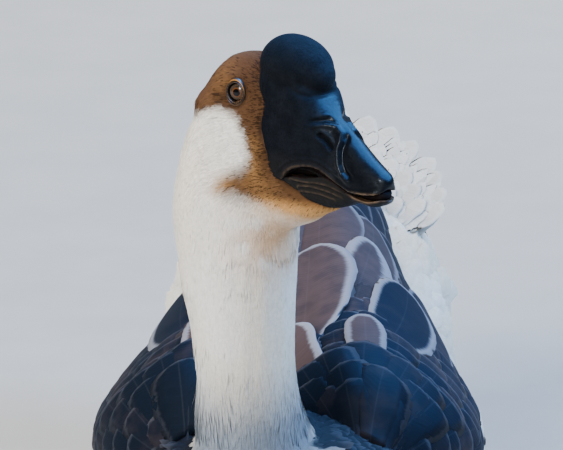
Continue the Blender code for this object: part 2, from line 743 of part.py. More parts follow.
def toe(name, heading, length, root, tip):
    """A toe flat on the floor with two knuckles and a claw."""
    angle = math.radians(heading)
    away = np.array([math.sin(angle), -math.cos(angle), 0])
    share = np.array([0, 0.36, 0.64, 0.93])
    swell = np.array([1, 1.08, 1.05, 0.95])
    radius = (root + (tip - root) * share) * swell
    rows = [(*(np.array(FOOT_AT) + away * length * s + [0, 0, r * 0.72]), r) for s, r in zip(share, radius)]
    end = np.array(FOOT_AT) + away * length * 0.93
    claw = [(*(end + [0, 0, tip * 0.9]), tip * 0.75)]
    claw += [(*(end + away * CLAW[0] * s + [0, 0, tip * (0.95 - 0.45 * s)]), CLAW[1] * (1 - 0.8 * s)) for s in (0.5, 1)]
    return tapered(name, rows, 6), tapered(name + "_claw", claw, 5)


def web():
    """The webs between the front toes, scalloped at the front."""
    angles, reach = [], []
    for i, (heading, length, *_rest) in enumerate(TOES):
        if i:
            before, was = TOES[i - 1][0], TOES[i - 1][1]
            for t in (0.25, 0.5, 0.75):
                angles.append(before + (heading - before) * t)
                reach.append((was + (length - was) * t) * WEB_REACH * (1 - 0.16 * math.sin(t * math.pi)))
        angles.append(heading)
        reach.append(length * WEB_REACH)
    a = np.radians(angles)
    rim = np.array(FOOT_AT) + np.stack([np.sin(a), -np.cos(a), 0 * a], axis=1) * np.array(reach)[:, None]
    outline = np.vstack([rim, np.array(FOOT_AT) + [0, 4, 0]])
    count = len(outline)
    points = np.vstack([outline - [0, 0, 1], outline + [0, 0, WEB_THICKNESS]])
    faces = [tuple(range(count)), tuple(range(count, 2 * count))]
    faces += [(i, (i + 1) % count, count + (i + 1) % count, count + i) for i in range(count)]
    return mesh_object("web", points, faces)


def foot_root():
    return [(FOOT_AT[0] + x, FOOT_AT[1] + y, z, r) for x, y, z, r in FOOT_ROOT]


def grown_foot(side):
    """Room for the root of the foot, at the ankle."""
    return [tapered("clear_root", [(x * side, y, z, r + 1.5 * GAP) for x, y, z, r in foot_root()])]


def foot(name):
    pieces = [web()]
    for i, row in enumerate((*TOES, HIND_TOE)):
        pieces += toe(f"toe_{i}", *row)
    whole = tapered(name, foot_root())
    fuse(whole, pieces)
    floor_cut(whole)
    return whole


def leg(name):
    whole = fuse(tapered(name, TARSUS), grown_foot(1), "DIFFERENCE")
    floor_cut(whole)
    return whole


# ---------------------------------------------------------------- assembly


def finished(obj, look):
    """Gives obj its plain colour and flat shading."""
    colour, roughness = COLOURS[look]
    material = bpy.data.materials.get(look) or bpy.data.materials.new(look)
    material.use_nodes = True
    shader = material.node_tree.nodes["Principled BSDF"]
    shader.inputs["Base Color"].default_value = (*colour, 1)
    shader.inputs["Roughness"].default_value = roughness
    material.diffuse_color = (*colour, 1)
    obj.data.materials.clear()
    obj.data.materials.append(material)
    for face in obj.data.polygons:
        face.material_index = 0


def whole_flesh(name, grow=0.0):
    """Torso, neck and head in one surface, with the creases between them evened out."""
    flesh = fuse(torso_loft(name, grow), [neck_loft("neck_whole", grow), head_loft("head_whole")])
    softened(flesh, head_to_world(np.array([-6.0, 0, -58.0])), 48)
    softened(flesh, (-6, -118, 132), 60, 6)
    return flesh


def clear_of_leg(side):
    """Room in the torso's flank for one folded leg and its foot."""
    at, radii = FOOT_ROOM
    shank = tapered("clear_leg", [(x * side, y, z, r + 1.5 * GAP) for x, y, z, r in TARSUS])
    return [shank, *grown_foot(side), ellipsoid("clear_foot", np.array(at) * (side, 1, 1), radii, around=14, rings=6)]


def main():
    for obj in list(bpy.data.objects):
        bpy.data.objects.remove(obj)
    for group in list(bpy.data.collections):
        bpy.data.collections.remove(group)

    tail = fuse(tail_core("tail"), tail_vanes())
    fuse(tail, [torso_loft("clear", 1.5 * GAP), wing_core("clear_wing", 7.0, 1.0),
                mirrored(wing_core("mirror", 7.0, 1.0), "clear_wing_right")], "DIFFERENCE")
    removed(bpy.data.objects["mirror"])

    wing = fuse(wing_core("wing_left"), wing_vanes("vane"))
    trimmed(wing, (0, 0, 0), (1, 0, 0))
    wing_right = mirrored(wing, "wing_right")
    for side in (wing, wing_right):
        fuse(side, [whole_flesh("clear", 2 * GAP)], "DIFFERENCE")

    limbs = []
    for build, name in ((leg, "leg_left"), (foot, "foot_left")):
        limb = build(name)
        limbs += [limb, mirrored(limb, name.replace("left", "right"))]

    flesh = whole_flesh("flesh")
    torso = sliced(flesh, "torso", *NECK_CUT, below=True)
    upper = sliced(flesh, "upper", *NECK_CUT, below=False)
    neck = sliced(upper, "neck", *HEAD_CUT, below=True)
    head = sliced(upper, "head", *HEAD_CUT, below=False)
    for scrap in (flesh, upper):
        removed(scrap)
    floor_cut(torso)
    fuse(torso, [piece for side in SIDES.values() for piece in clear_of_leg(side)], "DIFFERENCE")

    bill_upper, bill_lower = bills()
    lids = [lid_ring(side) for side in SIDES.values()]
    fuse(head, lids)
    in_front = [(BILL_BASE_X - GAP, 60), *((x - (GAP if i == 0 else 0), z) for i, (x, z) in enumerate(CHIN_LINE)), (140.0, 60)]
    fuse(head, [
        prism("in_front", in_front, 40),
        bill_loft("clear_lower", LOWER_BILL, LOWER_BILL_TIP, False, 1.3 * GAP),
        in_head("clear_knob", KNOB_AT, np.array(KNOB_RADII) + 2 * GAP, around=20, rings=11),
        *(piece for side in SIDES.values() for piece in eye_cut(side)),
    ], "DIFFERENCE")
    eyes = [in_head(f"eye_{name}", np.array(EYE_AT) * (1, side, 1), (EYE_RADIUS,) * 3, around=14, rings=8)
            for name, side in SIDES.items()]

    for obj in (torso, neck, tail):
        finished(obj, "white")
    finished(head, "face")
    for obj in (wing, wing_right):
        finished(obj, "wing")
    for obj in (bill_upper, bill_lower):
        finished(obj, "bill")
    for obj in eyes:
        finished(obj, "iris")
    for obj in limbs:
        finished(obj, "foot")
    goose = bpy.data.collections.new("african_goose")
    bpy.context.scene.collection.children.link(goose)
    for obj in list(bpy.context.scene.collection.objects):
        goose.objects.link(obj)
        bpy.context.scene.collection.objects.unlink(obj)


main()
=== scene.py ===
"""An african goose resting on its belly: skin, coat, feathers, bill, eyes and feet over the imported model.

The goose faces -Y with +Z up, its left is +X, and the origin is on the floor under its belly. Sizes are in
millimetres and become metres where a mesh is made. One skin holds the torso, neck, head, wings' and tail's
cores. The coat stands on it as thin closed tufts, and the wings and the tail carry vanes in tiers.
"""

import logging
import math
from dataclasses import dataclass, field, replace
from enum import Enum
from itertools import product
from typing import ClassVar

import bpy
import numpy as np
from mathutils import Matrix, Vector

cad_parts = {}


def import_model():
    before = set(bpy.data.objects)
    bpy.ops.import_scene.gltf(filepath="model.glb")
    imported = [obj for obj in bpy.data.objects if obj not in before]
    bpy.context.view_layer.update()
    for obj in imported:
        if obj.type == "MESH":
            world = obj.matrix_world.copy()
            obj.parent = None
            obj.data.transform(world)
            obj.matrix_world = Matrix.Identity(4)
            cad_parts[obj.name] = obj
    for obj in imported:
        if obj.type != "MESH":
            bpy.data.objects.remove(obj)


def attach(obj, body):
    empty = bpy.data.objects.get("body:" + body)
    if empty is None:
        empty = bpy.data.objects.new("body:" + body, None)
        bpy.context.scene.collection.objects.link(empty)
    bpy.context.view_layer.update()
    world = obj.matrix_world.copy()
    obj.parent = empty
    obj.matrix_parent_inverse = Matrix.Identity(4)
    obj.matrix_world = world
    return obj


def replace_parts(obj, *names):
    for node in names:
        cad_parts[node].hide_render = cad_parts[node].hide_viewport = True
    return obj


Array = np.ndarray
Socket = bpy.types.NodeSocket
MM = 0.001
BODY = "root"
SIDES = {"left": 1, "right": -1}  # the goose's left is +X
LOG = logging.getLogger("goose")


# ---------------------------------------------------------------- numbers


def smooth(knots: Array, values: Array, at: Array) -> Array:
    """A smooth curve through values at knots, read at places: cubic between two knots.

    Args:
        knots: rising places of the values.
        values: one row of values for each knot.
        at: places to read, of any shape.

    Returns:
        The rows at those places, in the shape of `at` with one more axis.
    """
    knots, values, at = (np.asarray(a, float) for a in (knots, values, at))
    values = values.reshape(len(knots), -1)
    step = np.diff(knots)[:, None]
    slope = np.diff(values, axis=0) / step
    tangent = np.empty_like(values)
    tangent[1:-1] = (slope[:-1] * step[1:] + slope[1:] * step[:-1]) / (step[:-1] + step[1:])
    tangent[0], tangent[-1] = slope[0], slope[-1]
    i = np.clip(np.searchsorted(knots, at.ravel(), side="right") - 1, 0, len(knots) - 2)
    h = step[i]
    t = (at.ravel() - knots[i])[:, None] / h
    out = (
        (2 * t**3 - 3 * t**2 + 1) * values[i]
        + (t**3 - 2 * t**2 + t) * h * tangent[i]
        + (3 * t**2 - 2 * t**3) * values[i + 1]
        + (t**3 - t**2) * h * tangent[i + 1]
    )
    return out.reshape(at.shape + (values.shape[1],))


def column(rows: tuple, number: int, at: Array) -> Array:
    """One column of a table at places of its first one, smooth between them and held at the ends."""
    table = np.array(rows, float)
    return smooth(table[:, 0], table[:, number], np.clip(at, table[0, 0], table[-1, 0]))[..., 0]


def ease(low: float, high: float, at: Array) -> Array:
    """Rises smoothly from 0 at `low` to 1 at `high`."""
    t = np.clip((np.asarray(at, float) - low) / (high - low), 0, 1)
    return t * t * (3 - 2 * t)


def bell(distance: Array, width: float) -> Array:
    """A bell curve: 1 at no distance, and 0.37 at the width."""
    return np.exp(-((distance / width) ** 2))


def unit(v: Array) -> Array:
    """Vectors of length 1."""
    return v / np.maximum(np.linalg.norm(v, axis=-1, keepdims=True), 1e-12)


def superellipse(around: int, squareness: float) -> tuple[Array, Array]:
    """Unit points (across, up) where |across|^n + |up|^n = 1, n the squareness."""
    turn = np.arange(around) * 2 * np.pi / around
    c, s = np.cos(turn), np.sin(turn)
    power = 2 / squareness
    return np.sign(c) * np.abs(c) ** power, np.sign(s) * np.abs(s) ** power


def noise(points: Array, size: float, seed: int = 0) -> Array:
    """Smooth noise from -1 to 1: random values at a lattice's corners, blended by a cubic between them.

    Args:
        points: places, in millimetres.
        size: the lattice's step.
        seed: picks another lattice.

    Returns:
        One value for each point.
    """
    at = np.asarray(points, float) / size
    low = np.floor(at).astype(np.int64)
    t = at - low
    t = t * t * (3 - 2 * t)
    out = np.zeros(at.shape[:-1])
    for corner in range(8):
        offset = np.array([(corner >> k) & 1 for k in range(3)])
        mixed = (low + offset) @ np.array([73856093, 19349663, 83492791]) + seed * 7919
        mixed = (mixed ^ (mixed >> 13)) * 1274126177
        mixed = (mixed ^ (mixed >> 16)) & 0x7FFFFFFF
        out += (mixed / 0x3FFFFFFF - 1) * np.prod(np.where(offset, t, 1 - t), axis=-1)
    return out


def from_path(points: Array, path: Array | tuple) -> tuple[Array, Array]:
    """Nearest distance of each point to a line of straight pieces.

    Args:
        points: (N, k) places in a plane or in space.
        path: (M, k) corners of the line.

    Returns:
        The distances, positive to the left of a line in a plane, and the share along the line.
    """
    path = np.asarray(path, float)
    start, run = path[:-1], np.diff(path, axis=0)
    length = np.linalg.norm(run, axis=1)
    off = points[:, None] - start[None]
    t = np.clip((off * run).sum(-1) / length**2, 0, 1)
    gap = off - t[..., None] * run
    far = np.linalg.norm(gap, axis=-1)
    near = far.argmin(1)
    pick = np.arange(len(points))
    walked = np.concatenate([[0], np.cumsum(length)])
    share = (walked[near] + t[pick, near] * length[near]) / walked[-1]
    distance = far[pick, near]
    if path.shape[1] == 2:
        side = run[near, 0] * gap[pick, near, 1] - run[near, 1] * gap[pick, near, 0]
        distance = distance * np.where(side < 0, -1, 1)
    return distance, share


def inside(points: Array, outline: Array | tuple) -> Array:
    """True where points of a plane lie in a closed outline, by the sides that a ray to the right crosses."""
    a = np.asarray(outline, float)
    b = np.roll(a, -1, axis=0)
    x, y = points[:, :1], points[:, 1:]
    spans = (a[:, 1] > y) != (b[:, 1] > y)
    rise = np.where(b[:, 1] == a[:, 1], 1e-9, b[:, 1] - a[:, 1])
    crossing = a[:, 0] + (y - a[:, 1]) * (b[:, 0] - a[:, 0]) / rise
    return (spans & (x < crossing)).sum(1) % 2 == 1


# ---------------------------------------------------------------- meshes


@dataclass
class Surface:
    """A surface as arrays: points in millimetres, faces as arrays of quads or triangles."""

    points: Array
    faces: list[Array]

    def triangles(self) -> Array:
        """Every face as triangles."""
        parts = []
        for f in self.faces:
            parts.append(f if f.shape[1] == 3 else np.vstack([f[:, [0, 1, 2]], f[:, [0, 2, 3]]]))
        return np.vstack(parts)

    def edges(self) -> Array:
        """Each side of a face once."""
        parts = [np.stack([f, np.roll(f, -1, axis=1)], axis=-1).reshape(-1, 2) for f in self.faces]
        return np.unique(np.sort(np.vstack(parts), axis=1), axis=0)

    def normals(self) -> Array:
        """Outward unit normals at the points, each the sum of its faces' normals by area."""
        tri = self.triangles()
        a, b, c = (self.points[tri[:, k]] for k in range(3))
        n = np.repeat(np.cross(b - a, c - a), 3, axis=0)
        count = len(self.points)
        return unit(np.stack([np.bincount(tri.ravel(), n[:, k], count) for k in range(3)], 1))

    def mirrored(self) -> "Surface":
        """The same surface on the goose's other side."""
        return Surface(self.points * [-1, 1, 1], [f[:, ::-1] for f in self.faces])

    def relaxed(self, times: int, weight: Array | float = 1.0, keep_volume: bool = False) -> "Surface":
        """Moves each point towards the mean of its neighbours.

        Args:
            times: how often.
            weight: share of the way for each point.
            keep_volume: whether each move in is followed by a slightly longer move out.

        Returns:
            The evened surface.
        """
        edges, count = self.edges(), len(self.points)
        degree = np.maximum(np.bincount(edges.ravel(), minlength=count), 1)[:, None]
        points = self.points.copy()
        share = np.broadcast_to(np.asarray(weight, float), (count,))[:, None]
        for step in [0.5] * times if not keep_volume else [0.5, -0.53] * times:
            total = np.stack([
                np.bincount(edges[:, 0], points[edges[:, 1], k], count)
                + np.bincount(edges[:, 1], points[edges[:, 0], k], count)
                for k in range(3)
            ], 1)
            points += (total / degree - points) * share * step
        return Surface(points, self.faces)


def joined(parts: list[Surface]) -> Surface:
    """Several surfaces as one."""
    points = np.vstack([p.points for p in parts])
    start = np.cumsum([0] + [len(p.points) for p in parts])
    faces = [f + start[i] for i, p in enumerate(parts) for f in p.faces]
    return Surface(points, faces)


def loft(rings: Array, first: Array, last: Array) -> Surface:
    """A closed surface through rings of equal counts, drawn to a point at each end."""
    count, around = rings.shape[:2]
    r, k = np.meshgrid(np.arange(count - 1), np.arange(around), indexing="ij")
    a, b = r * around + k, r * around + (k + 1) % around
    quads = np.stack([a, b, b + around, a + around], -1).reshape(-1, 4)
    k, total, top = np.arange(around), count * around, (count - 1) * around
    following = (k + 1) % around
    back = np.stack([following, k, np.full(around, total)], 1)
    front = np.stack([k + top, following + top, np.full(around, total + 1)], 1)
    points = np.vstack([rings.reshape(-1, 3), [first, last]])
    return outward(Surface(points, [quads, np.vstack([back, front])]))


def outward(surface: Surface) -> Surface:
    """Turns a closed surface's faces round where its volume comes out negative."""
    a, b, c = (surface.points[surface.triangles()[:, k]] for k in range(3))
    if (a * np.cross(b, c)).sum() < 0:
        return Surface(surface.points, [f[:, ::-1] for f in surface.faces])
    return surface


def ellipsoid(at: Array, radii: Array, turn: Array | None = None) -> Surface:
    """An ellipsoid with its poles on its own z, turned by a matrix about its centre."""
    levels, around = 30, 48
    high = np.linspace(-np.pi / 2, np.pi / 2, levels + 2)[1:-1]
    c, s = superellipse(around, 2.0)
    level = np.cos(high)[:, None]
    rings = np.stack([level * c, level * s, np.broadcast_to(np.sin(high)[:, None], (levels, around))], -1)
    turn = np.eye(3) if turn is None else turn

    def place(points: Array) -> Array:
        """Stretches, turns and moves points of the unit ball."""
        return (points * np.asarray(radii, float)) @ turn.T + np.asarray(at, float)

    return loft(place(rings), place(np.array([0, 0, -1.0])), place(np.array([0, 0, 1.0])))


def mesh_piece(name: str, surface: Surface, finish: "Finish | None" = None,
               marks: dict[str, Array] | None = None, uv: Array | None = None,
               lie: Array | None = None) -> bpy.types.Object:
    """Makes a smooth-shaded object of a surface.

    Args:
        name: the piece's name.
        surface: its points in millimetres and faces.
        finish: its material.
        marks: named values at the points, of one number or of a colour each.
        uv: a place on the OFBake map for each point.
        lie: unit normals that the light reads instead of the faces' own, so that tufts look like one coat.

    Returns:
        The object, at the origin, linked to the scene.
    """
    mesh = bpy.data.meshes.new(name)
    mesh.vertices.add(len(surface.points))
    mesh.vertices.foreach_set("co", (surface.points * MM).astype(np.float32).ravel())
    sizes = np.concatenate([np.full(len(f), f.shape[1]) for f in surface.faces])
    corners = np.concatenate([f.ravel() for f in surface.faces]).astype(np.int32)
    starts = np.concatenate([[0], np.cumsum(sizes)[:-1]]).astype(np.int32)
    mesh.loops.add(len(corners))
    mesh.loops.foreach_set("vertex_index", corners)
    mesh.polygons.add(len(sizes))
    mesh.polygons.foreach_set("loop_start", starts)
    mesh.update(calc_edges=True)
    mesh.polygons.foreach_set("use_smooth", np.ones(len(sizes), bool))
    for key, values in (marks or {}).items():
        values = np.asarray(values, np.float32)
        if values.ndim == 1:
            mesh.attributes.new(key, "FLOAT", "POINT").data.foreach_set("value", values)
        else:
            rgba = np.concatenate([values, np.ones((len(values), 1), np.float32)], 1)
            mesh.attributes.new(key, "FLOAT_COLOR", "POINT").data.foreach_set("color", rgba.ravel())
    if uv is not None:
        mesh.uv_layers.new(name="OFBake").data.foreach_set("uv", uv[corners].astype(np.float32).ravel())
    if lie is not None:
        mesh.normals_split_custom_set_from_vertices(lie)
    if finish is not None:
        mesh.materials.append(finish.material)
    obj = bpy.data.objects.new(name, mesh)
    bpy.context.scene.collection.objects.link(obj)
    return obj


def fused(parts: list[Surface], voxel: float) -> Surface:
    """One closed surface round several closed ones, from a voxel remesh of that grain in millimetres."""
    obj = mesh_piece("fusing", joined(parts))
    modifier = obj.modifiers.new("fuse", "REMESH")
    modifier.mode = "VOXEL"
    modifier.voxel_size = voxel * MM
    mesh = bpy.data.meshes.new_from_object(obj.evaluated_get(bpy.context.evaluated_depsgraph_get()))
    points = np.zeros(len(mesh.vertices) * 3)
    mesh.vertices.foreach_get("co", points)
    total, start = np.zeros((2, len(mesh.polygons)), np.int32)
    corners = np.zeros(len(mesh.loops), np.int32)
    mesh.polygons.foreach_get("loop_total", total)
    mesh.polygons.foreach_get("loop_start", start)
    mesh.loops.foreach_get("vertex_index", corners)
    faces = [corners[start[total == n][:, None] + np.arange(n)] for n in (3, 4) if (total == n).any()]
    bpy.data.objects.remove(obj)
    bpy.data.meshes.remove(mesh)
    return outward(Surface(points.reshape(-1, 3) / MM, faces))


# ---------------------------------------------------------------- the head's own frame


@dataclass(frozen=True)
class HeadFrame:
    """The head's axes: x forward along the bill, y to its left and z up, from a point between the eyes."""

    at: tuple = (-5.0, -150.0, 343.0)
    yaw: float = math.radians(45.0)  # turned towards the goose's left

    def axes(self) -> Array:
        """Forward, left and up as rows."""
        s, c = math.sin(self.yaw), math.cos(self.yaw)
        return np.array([[s, -c, 0], [c, s, 0], [0, 0, 1.0]])

    def to_goose(self, points: Array) -> Array:
        """Points of the head's frame, in the goose's."""
        return np.asarray(points, float) @ self.axes() + np.array(self.at)

    def from_goose(self, points: Array) -> Array:
        """Points of the goose's frame, in the head's."""
        return (np.asarray(points, float) - np.array(self.at)) @ self.axes().T


HEAD = HeadFrame()


# ---------------------------------------------------------------- finishes


@dataclass(frozen=True)
class Colour:
    """A colour by its linear red, green and blue."""

    red: float
    green: float
    blue: float

    def rgb(self) -> Array:
        """The colour as an array."""
        return np.array([self.red, self.green, self.blue])


class Tone(Enum):
    """The goose's colours, in linear light."""

    CREAM = Colour(0.86, 0.80, 0.68)
    SNOW = Colour(0.90, 0.885, 0.84)
    # painted shade: the blue-grey that darkens the front of the lower neck
    NECK_SHADE = Colour(0.22, 0.27, 0.335)
    RUFOUS = Colour(0.092, 0.045, 0.0195)
    CHESTNUT = Colour(0.120, 0.059, 0.0265)
    UMBER = Colour(0.026, 0.0125, 0.006)
    BUFF = Colour(0.70, 0.36, 0.12)
    STRIPE = Colour(0.055, 0.026, 0.013)
    SLATE = Colour(0.012, 0.013, 0.018)
    PALE_EDGE = Colour(0.14, 0.155, 0.20)
    ASH = Colour(0.46, 0.45, 0.45)

    def rgb(self) -> Array:
        """The tone as an array."""
        return self.value.rgb()


def layered(colour: Array, layers: tuple) -> Array:
    """Colours with tones laid over them one after another, each by its share."""
    for tone, share in layers:
        colour = colour + (tone.rgb() - colour) * np.clip(share, 0, 1)[..., None]
    return colour


class Finish:
    """A node material built round one Principled shader, whose constant values sit on its own sockets."""

    def __init__(self, name: str, **values: float | tuple) -> None:
        """Makes the material and sets the shader's sockets by their names with spaces as underscores."""
        self.material = bpy.data.materials.new(name)
        self.material.use_nodes = True
        self.tree = self.material.node_tree
        self.shader = self.tree.nodes["Principled BSDF"]
        for key, value in values.items():
            socket = self.shader.inputs[key.replace("_", " ")]
            socket.default_value = (*value, 1) if isinstance(value, tuple) else value

    def node(self, kind: str, inputs: dict | None = None, **settings: str) -> bpy.types.Node:
        """Adds a node.

        Args:
            kind: its type without the ShaderNode prefix.
            inputs: a value, a colour or another socket for each input by name or number.
            settings: the node's own properties.

        Returns:
            The node.
        """
        made = self.tree.nodes.new("ShaderNode" + kind)
        for key, value in settings.items():
            setattr(made, key, value)
        for key, value in (inputs or {}).items():
            if isinstance(value, Socket):
                self.tree.links.new(value, made.inputs[key])
            else:
                made.inputs[key].default_value = (*value.rgb(), 1) if isinstance(value, Colour) else value
        return made

    def mark(self, name: str, socket: str = "Fac") -> Socket:
        """The socket of a value kept at the mesh's points."""
        return self.node("Attribute", attribute_name=name).outputs[socket]

    def place(self, scale: tuple = (1, 1, 1)) -> Socket:
        """The piece's own coordinates in metres, stretched."""
        where = self.node("TexCoord").outputs["Object"]
        return self.node("Mapping", {"Vector": where, "Scale": scale}).outputs["Vector"]

    def grain(self, size: float, scale: tuple = (1, 1, 1), detail: float = 2, rough: float = 0.55) -> Socket:
        """Noise with features of that size in millimetres."""
        inputs = {"Vector": self.place(scale), "Scale": 1 / (size * MM), "Detail": detail, "Roughness": rough}
        return self.node("TexNoise", inputs).outputs["Fac"]

    def streaks(self, across: Socket, along: Socket, scale: float) -> Socket:
        """Noise over two values of the mesh's points."""
        where = self.node("CombineXYZ", {0: across, 1: along}).outputs[0]
        return self.node("TexNoise", {"Vector": where, "Scale": scale, "Detail": 3.0}).outputs["Fac"]

    def cells(self, size: float, feature: str = "F1") -> bpy.types.Node:
        """Rounded cells of that size in millimetres."""
        return self.node("TexVoronoi", {"Vector": self.place(), "Scale": 1 / (size * MM)}, feature=feature)

    def ramp(self, value: Socket, low: float, high: float, to_low: float = 0, to_high: float = 1) -> Socket:
        """Maps a value from low..high to to_low..to_high, held at the ends."""
        inputs = {"Value": value, "From Min": low, "From Max": high, "To Min": to_low, "To Max": to_high}
        return self.node("MapRange", inputs, interpolation_type="SMOOTHSTEP").outputs["Result"]

    def mix(self, share: Socket | float, first: Socket | Colour, second: Socket | Colour,
            blend: str = "MIX") -> Socket:
        """Mixes two colours."""
        inputs = {0: share, 6: first, 7: second}
        return self.node("Mix", inputs, data_type="RGBA", blend_type=blend).outputs[2]

    def times(self, colour: Socket, value: Socket) -> Socket:
        """A colour made lighter or darker by a value."""
        shade = self.node("CombineColor", {0: value, 1: value, 2: value}).outputs[0]
        return self.mix(1.0, colour, shade, "MULTIPLY")

    def maths(self, operation: str, first: Socket, second: Socket | float = 0.0) -> Socket:
        """One operation on one or two values."""
        return self.node("Math", {0: first, 1: second}, operation=operation).outputs[0]

    def bump(self, height: Socket, strength: float, distance: float, below: Socket | None = None) -> Socket:
        """A bump of that depth in millimetres, over another one where it is given."""
        inputs = {"Height": height, "Strength": strength, "Distance": distance * MM}
        if below is not None:
            inputs["Normal"] = below
        return self.node("Bump", inputs).outputs["Normal"]

    def into(self, socket: str, value: Socket) -> None:
        """Links a value to the shader."""
        self.tree.links.new(value, self.shader.inputs[socket])


def coat_finish() -> Finish:
    """Soft feathers: the plumage's colours and painted shade, kept at the points, mottled, with a fine grain
    along the lie.
    """
    finish = Finish("coat", Roughness=0.85, Specular_IOR_Level=0.10)
    mottle = finish.ramp(finish.grain(2.2, detail=3), 0.3, 0.7, 0.93, 1.04)
    finish.into("Base Color", finish.times(finish.mark("markings_and_shade", "Color"), mottle))
    finish.into("Normal", finish.bump(finish.grain(0.35, detail=2), 0.25, 0.2))
    return finish


def skin_finish() -> Finish:
    """The skin and down under the coat: the coat's colours and painted shade, a little darker, with a
    down-like bump.
    """
    finish = Finish("skin", Roughness=0.9, Specular_IOR_Level=0.15)
    down = finish.ramp(finish.grain(1.4, detail=4), 0.3, 0.7, 0.84, 1.0)
    finish.into("Base Color", finish.times(finish.mark("markings_and_shade", "Color"), down))
    finish.into("Normal", finish.bump(finish.grain(1.0, detail=4), 0.4, 0.3))
    return finish


def vane_finish(name: str, inner: Colour, dark: Colour, edge: Colour) -> Finish:
    """A large feather: its colour runs from inner to dark by its tone, with a rim, a quill and fine barbs."""
    finish = Finish(name, Roughness=0.6, Specular_IOR_Level=0.05)
    across, along = finish.mark("across"), finish.mark("along")
    cloud = finish.ramp(finish.grain(14, detail=2), 0.3, 0.7, -0.12, 0.12)
    tone = finish.ramp(finish.maths("ADD", finish.mark("tone"), cloud), 0.0, 1.0)
    # barbs run out from the quill and forward, as lines of across plus along
    out = finish.maths("ABSOLUTE", across)
    slant = finish.maths("ADD", finish.maths("MULTIPLY", out, -0.5), along)
    barbs = finish.maths("SINE", finish.maths("MULTIPLY", slant, 2.2))
    streak = finish.streaks(slant, finish.maths("MULTIPLY", across, 0.06), 0.8)
    base = finish.times(finish.mix(tone, inner, dark), finish.ramp(streak, 0.3, 0.7, 0.93, 1.06))
    ragged = finish.maths("ADD", finish.mark("edge"), finish.ramp(streak, 0.3, 0.7, -0.14, 0.14))
    rim = finish.maths("MULTIPLY", finish.ramp(ragged, 0.65, 1.3, 1.0, 0.0), finish.mark("rim"))
    quill = finish.ramp(out, 0.25, 0.6, 0.025, 0.0)
    finish.into("Base Color", finish.mix(quill, finish.mix(rim, base, edge), edge))
    finish.into("Normal", finish.bump(barbs, 0.25, 0.06, finish.bump(streak, 0.25, 0.2)))
    return finish


def bill_finish() -> Finish:
    """Wet blue-black skin: wrinkled and matt at the root, smooth and glossy in front, paler at its rims, with
    painted shade in the nostrils.
    """
    finish = Finish("bill_skin", Specular_IOR_Level=0.17, Specular_Tint=(0.75, 0.87, 1.0))
    gloss = finish.mark("gloss")
    mottle = finish.ramp(finish.grain(7, detail=4), 0.35, 0.7)
    base = finish.mix(mottle, Colour(0.0018, 0.0022, 0.0034), Colour(0.0042, 0.0050, 0.0074))
    layers = (
        ("grey", Colour(0.0100, 0.0090, 0.0080)), ("rim", Colour(0.20, 0.13, 0.075)),
        # the last layer, dark, is painted shade inside the nostrils
        ("inside", Colour(0.010, 0.003, 0.0026)), ("dark", Colour(0.001, 0.001, 0.0012)),
    )
    for mark, colour in layers:
        base = finish.mix(finish.mark(mark), base, colour)
    finish.into("Base Color", base)
    speck = finish.ramp(finish.grain(1.1, detail=3), 0.45, 0.7, -0.06, 0.1)
    finish.into("Roughness", finish.maths("ADD", finish.ramp(gloss, 0, 1, 0.92, 0.36), speck))
    fine = finish.bump(finish.cells(1.5, "SMOOTH_F1").outputs["Distance"], 0.22, 0.25)
    wrinkle = finish.grain(1.6, (1, 1, 0.45), 5, 0.62)
    depth = finish.maths("MULTIPLY", wrinkle, finish.ramp(gloss, 0, 1, 1.0, 0.22))
    finish.into("Normal", finish.bump(depth, 0.6, 0.55, fine))
    return finish


def mouth_finish() -> Finish:
    """The wet, reddish inside of the mouth, painted near black as shade."""
    finish = Finish("mouth_inside", Roughness=0.7, Specular_IOR_Level=0.1)
    mottle = finish.ramp(finish.grain(3, detail=3), 0.3, 0.7)
    # painted shade: near-black reddish browns for the tongue, mouth floor and lamellae
    finish.into("Base Color", finish.mix(mottle, Colour(0.002, 0.001, 0.001), Colour(0.008, 0.003, 0.003)))
    finish.into("Normal", finish.bump(finish.grain(0.8, detail=3), 0.4, 0.3))
    return finish


def eye_finish() -> Finish:
    """A wet eye by the distance from its middle: pupil, amber ring, brown iris with rays, dark rim."""
    finish = Finish("eye_wet", Roughness=0.05, IOR=1.36)
    reach = finish.mark("reach")
    rays = finish.streaks(finish.maths("MULTIPLY", finish.mark("turn"), 9.0), reach, 1.4)
    rays = finish.ramp(rays, 0.35, 0.65)
    brown = finish.mix(rays, Colour(0.066, 0.048, 0.033), Colour(0.018, 0.012, 0.008))
    iris = finish.mix(finish.ramp(reach, 2.2, 3.1), Colour(0.115, 0.038, 0.008), brown)
    iris = finish.mix(finish.ramp(reach, 3.7, 4.2), iris, Colour(0.050, 0.030, 0.016))
    iris = finish.mix(finish.ramp(reach, 4.15, 4.5), iris, Colour(0.003, 0.0025, 0.002))
    pupil = finish.ramp(reach, 1.85, 2.15)
    finish.into("Base Color", finish.mix(pupil, Colour(0.0004, 0.0004, 0.0005), iris))
    return finish


def lid_finish() -> Finish:
    """Thin bare lids: dark olive-brown skin with a golden rim next to the eye."""
    finish = Finish("lid_skin", Roughness=0.4, Coat_Weight=0.2)
    fold = finish.ramp(finish.grain(0.9, detail=3), 0.3, 0.7, 0.0, 0.6)
    base = finish.mix(fold, Colour(0.006, 0.004, 0.003), Colour(0.030, 0.018, 0.010))
    finish.into("Base Color", finish.mix(finish.mark("rim"), base, Colour(0.46, 0.20, 0.03)))
    finish.into("Normal", finish.bump(finish.grain(0.5, detail=3), 0.5, 0.2))
    return finish


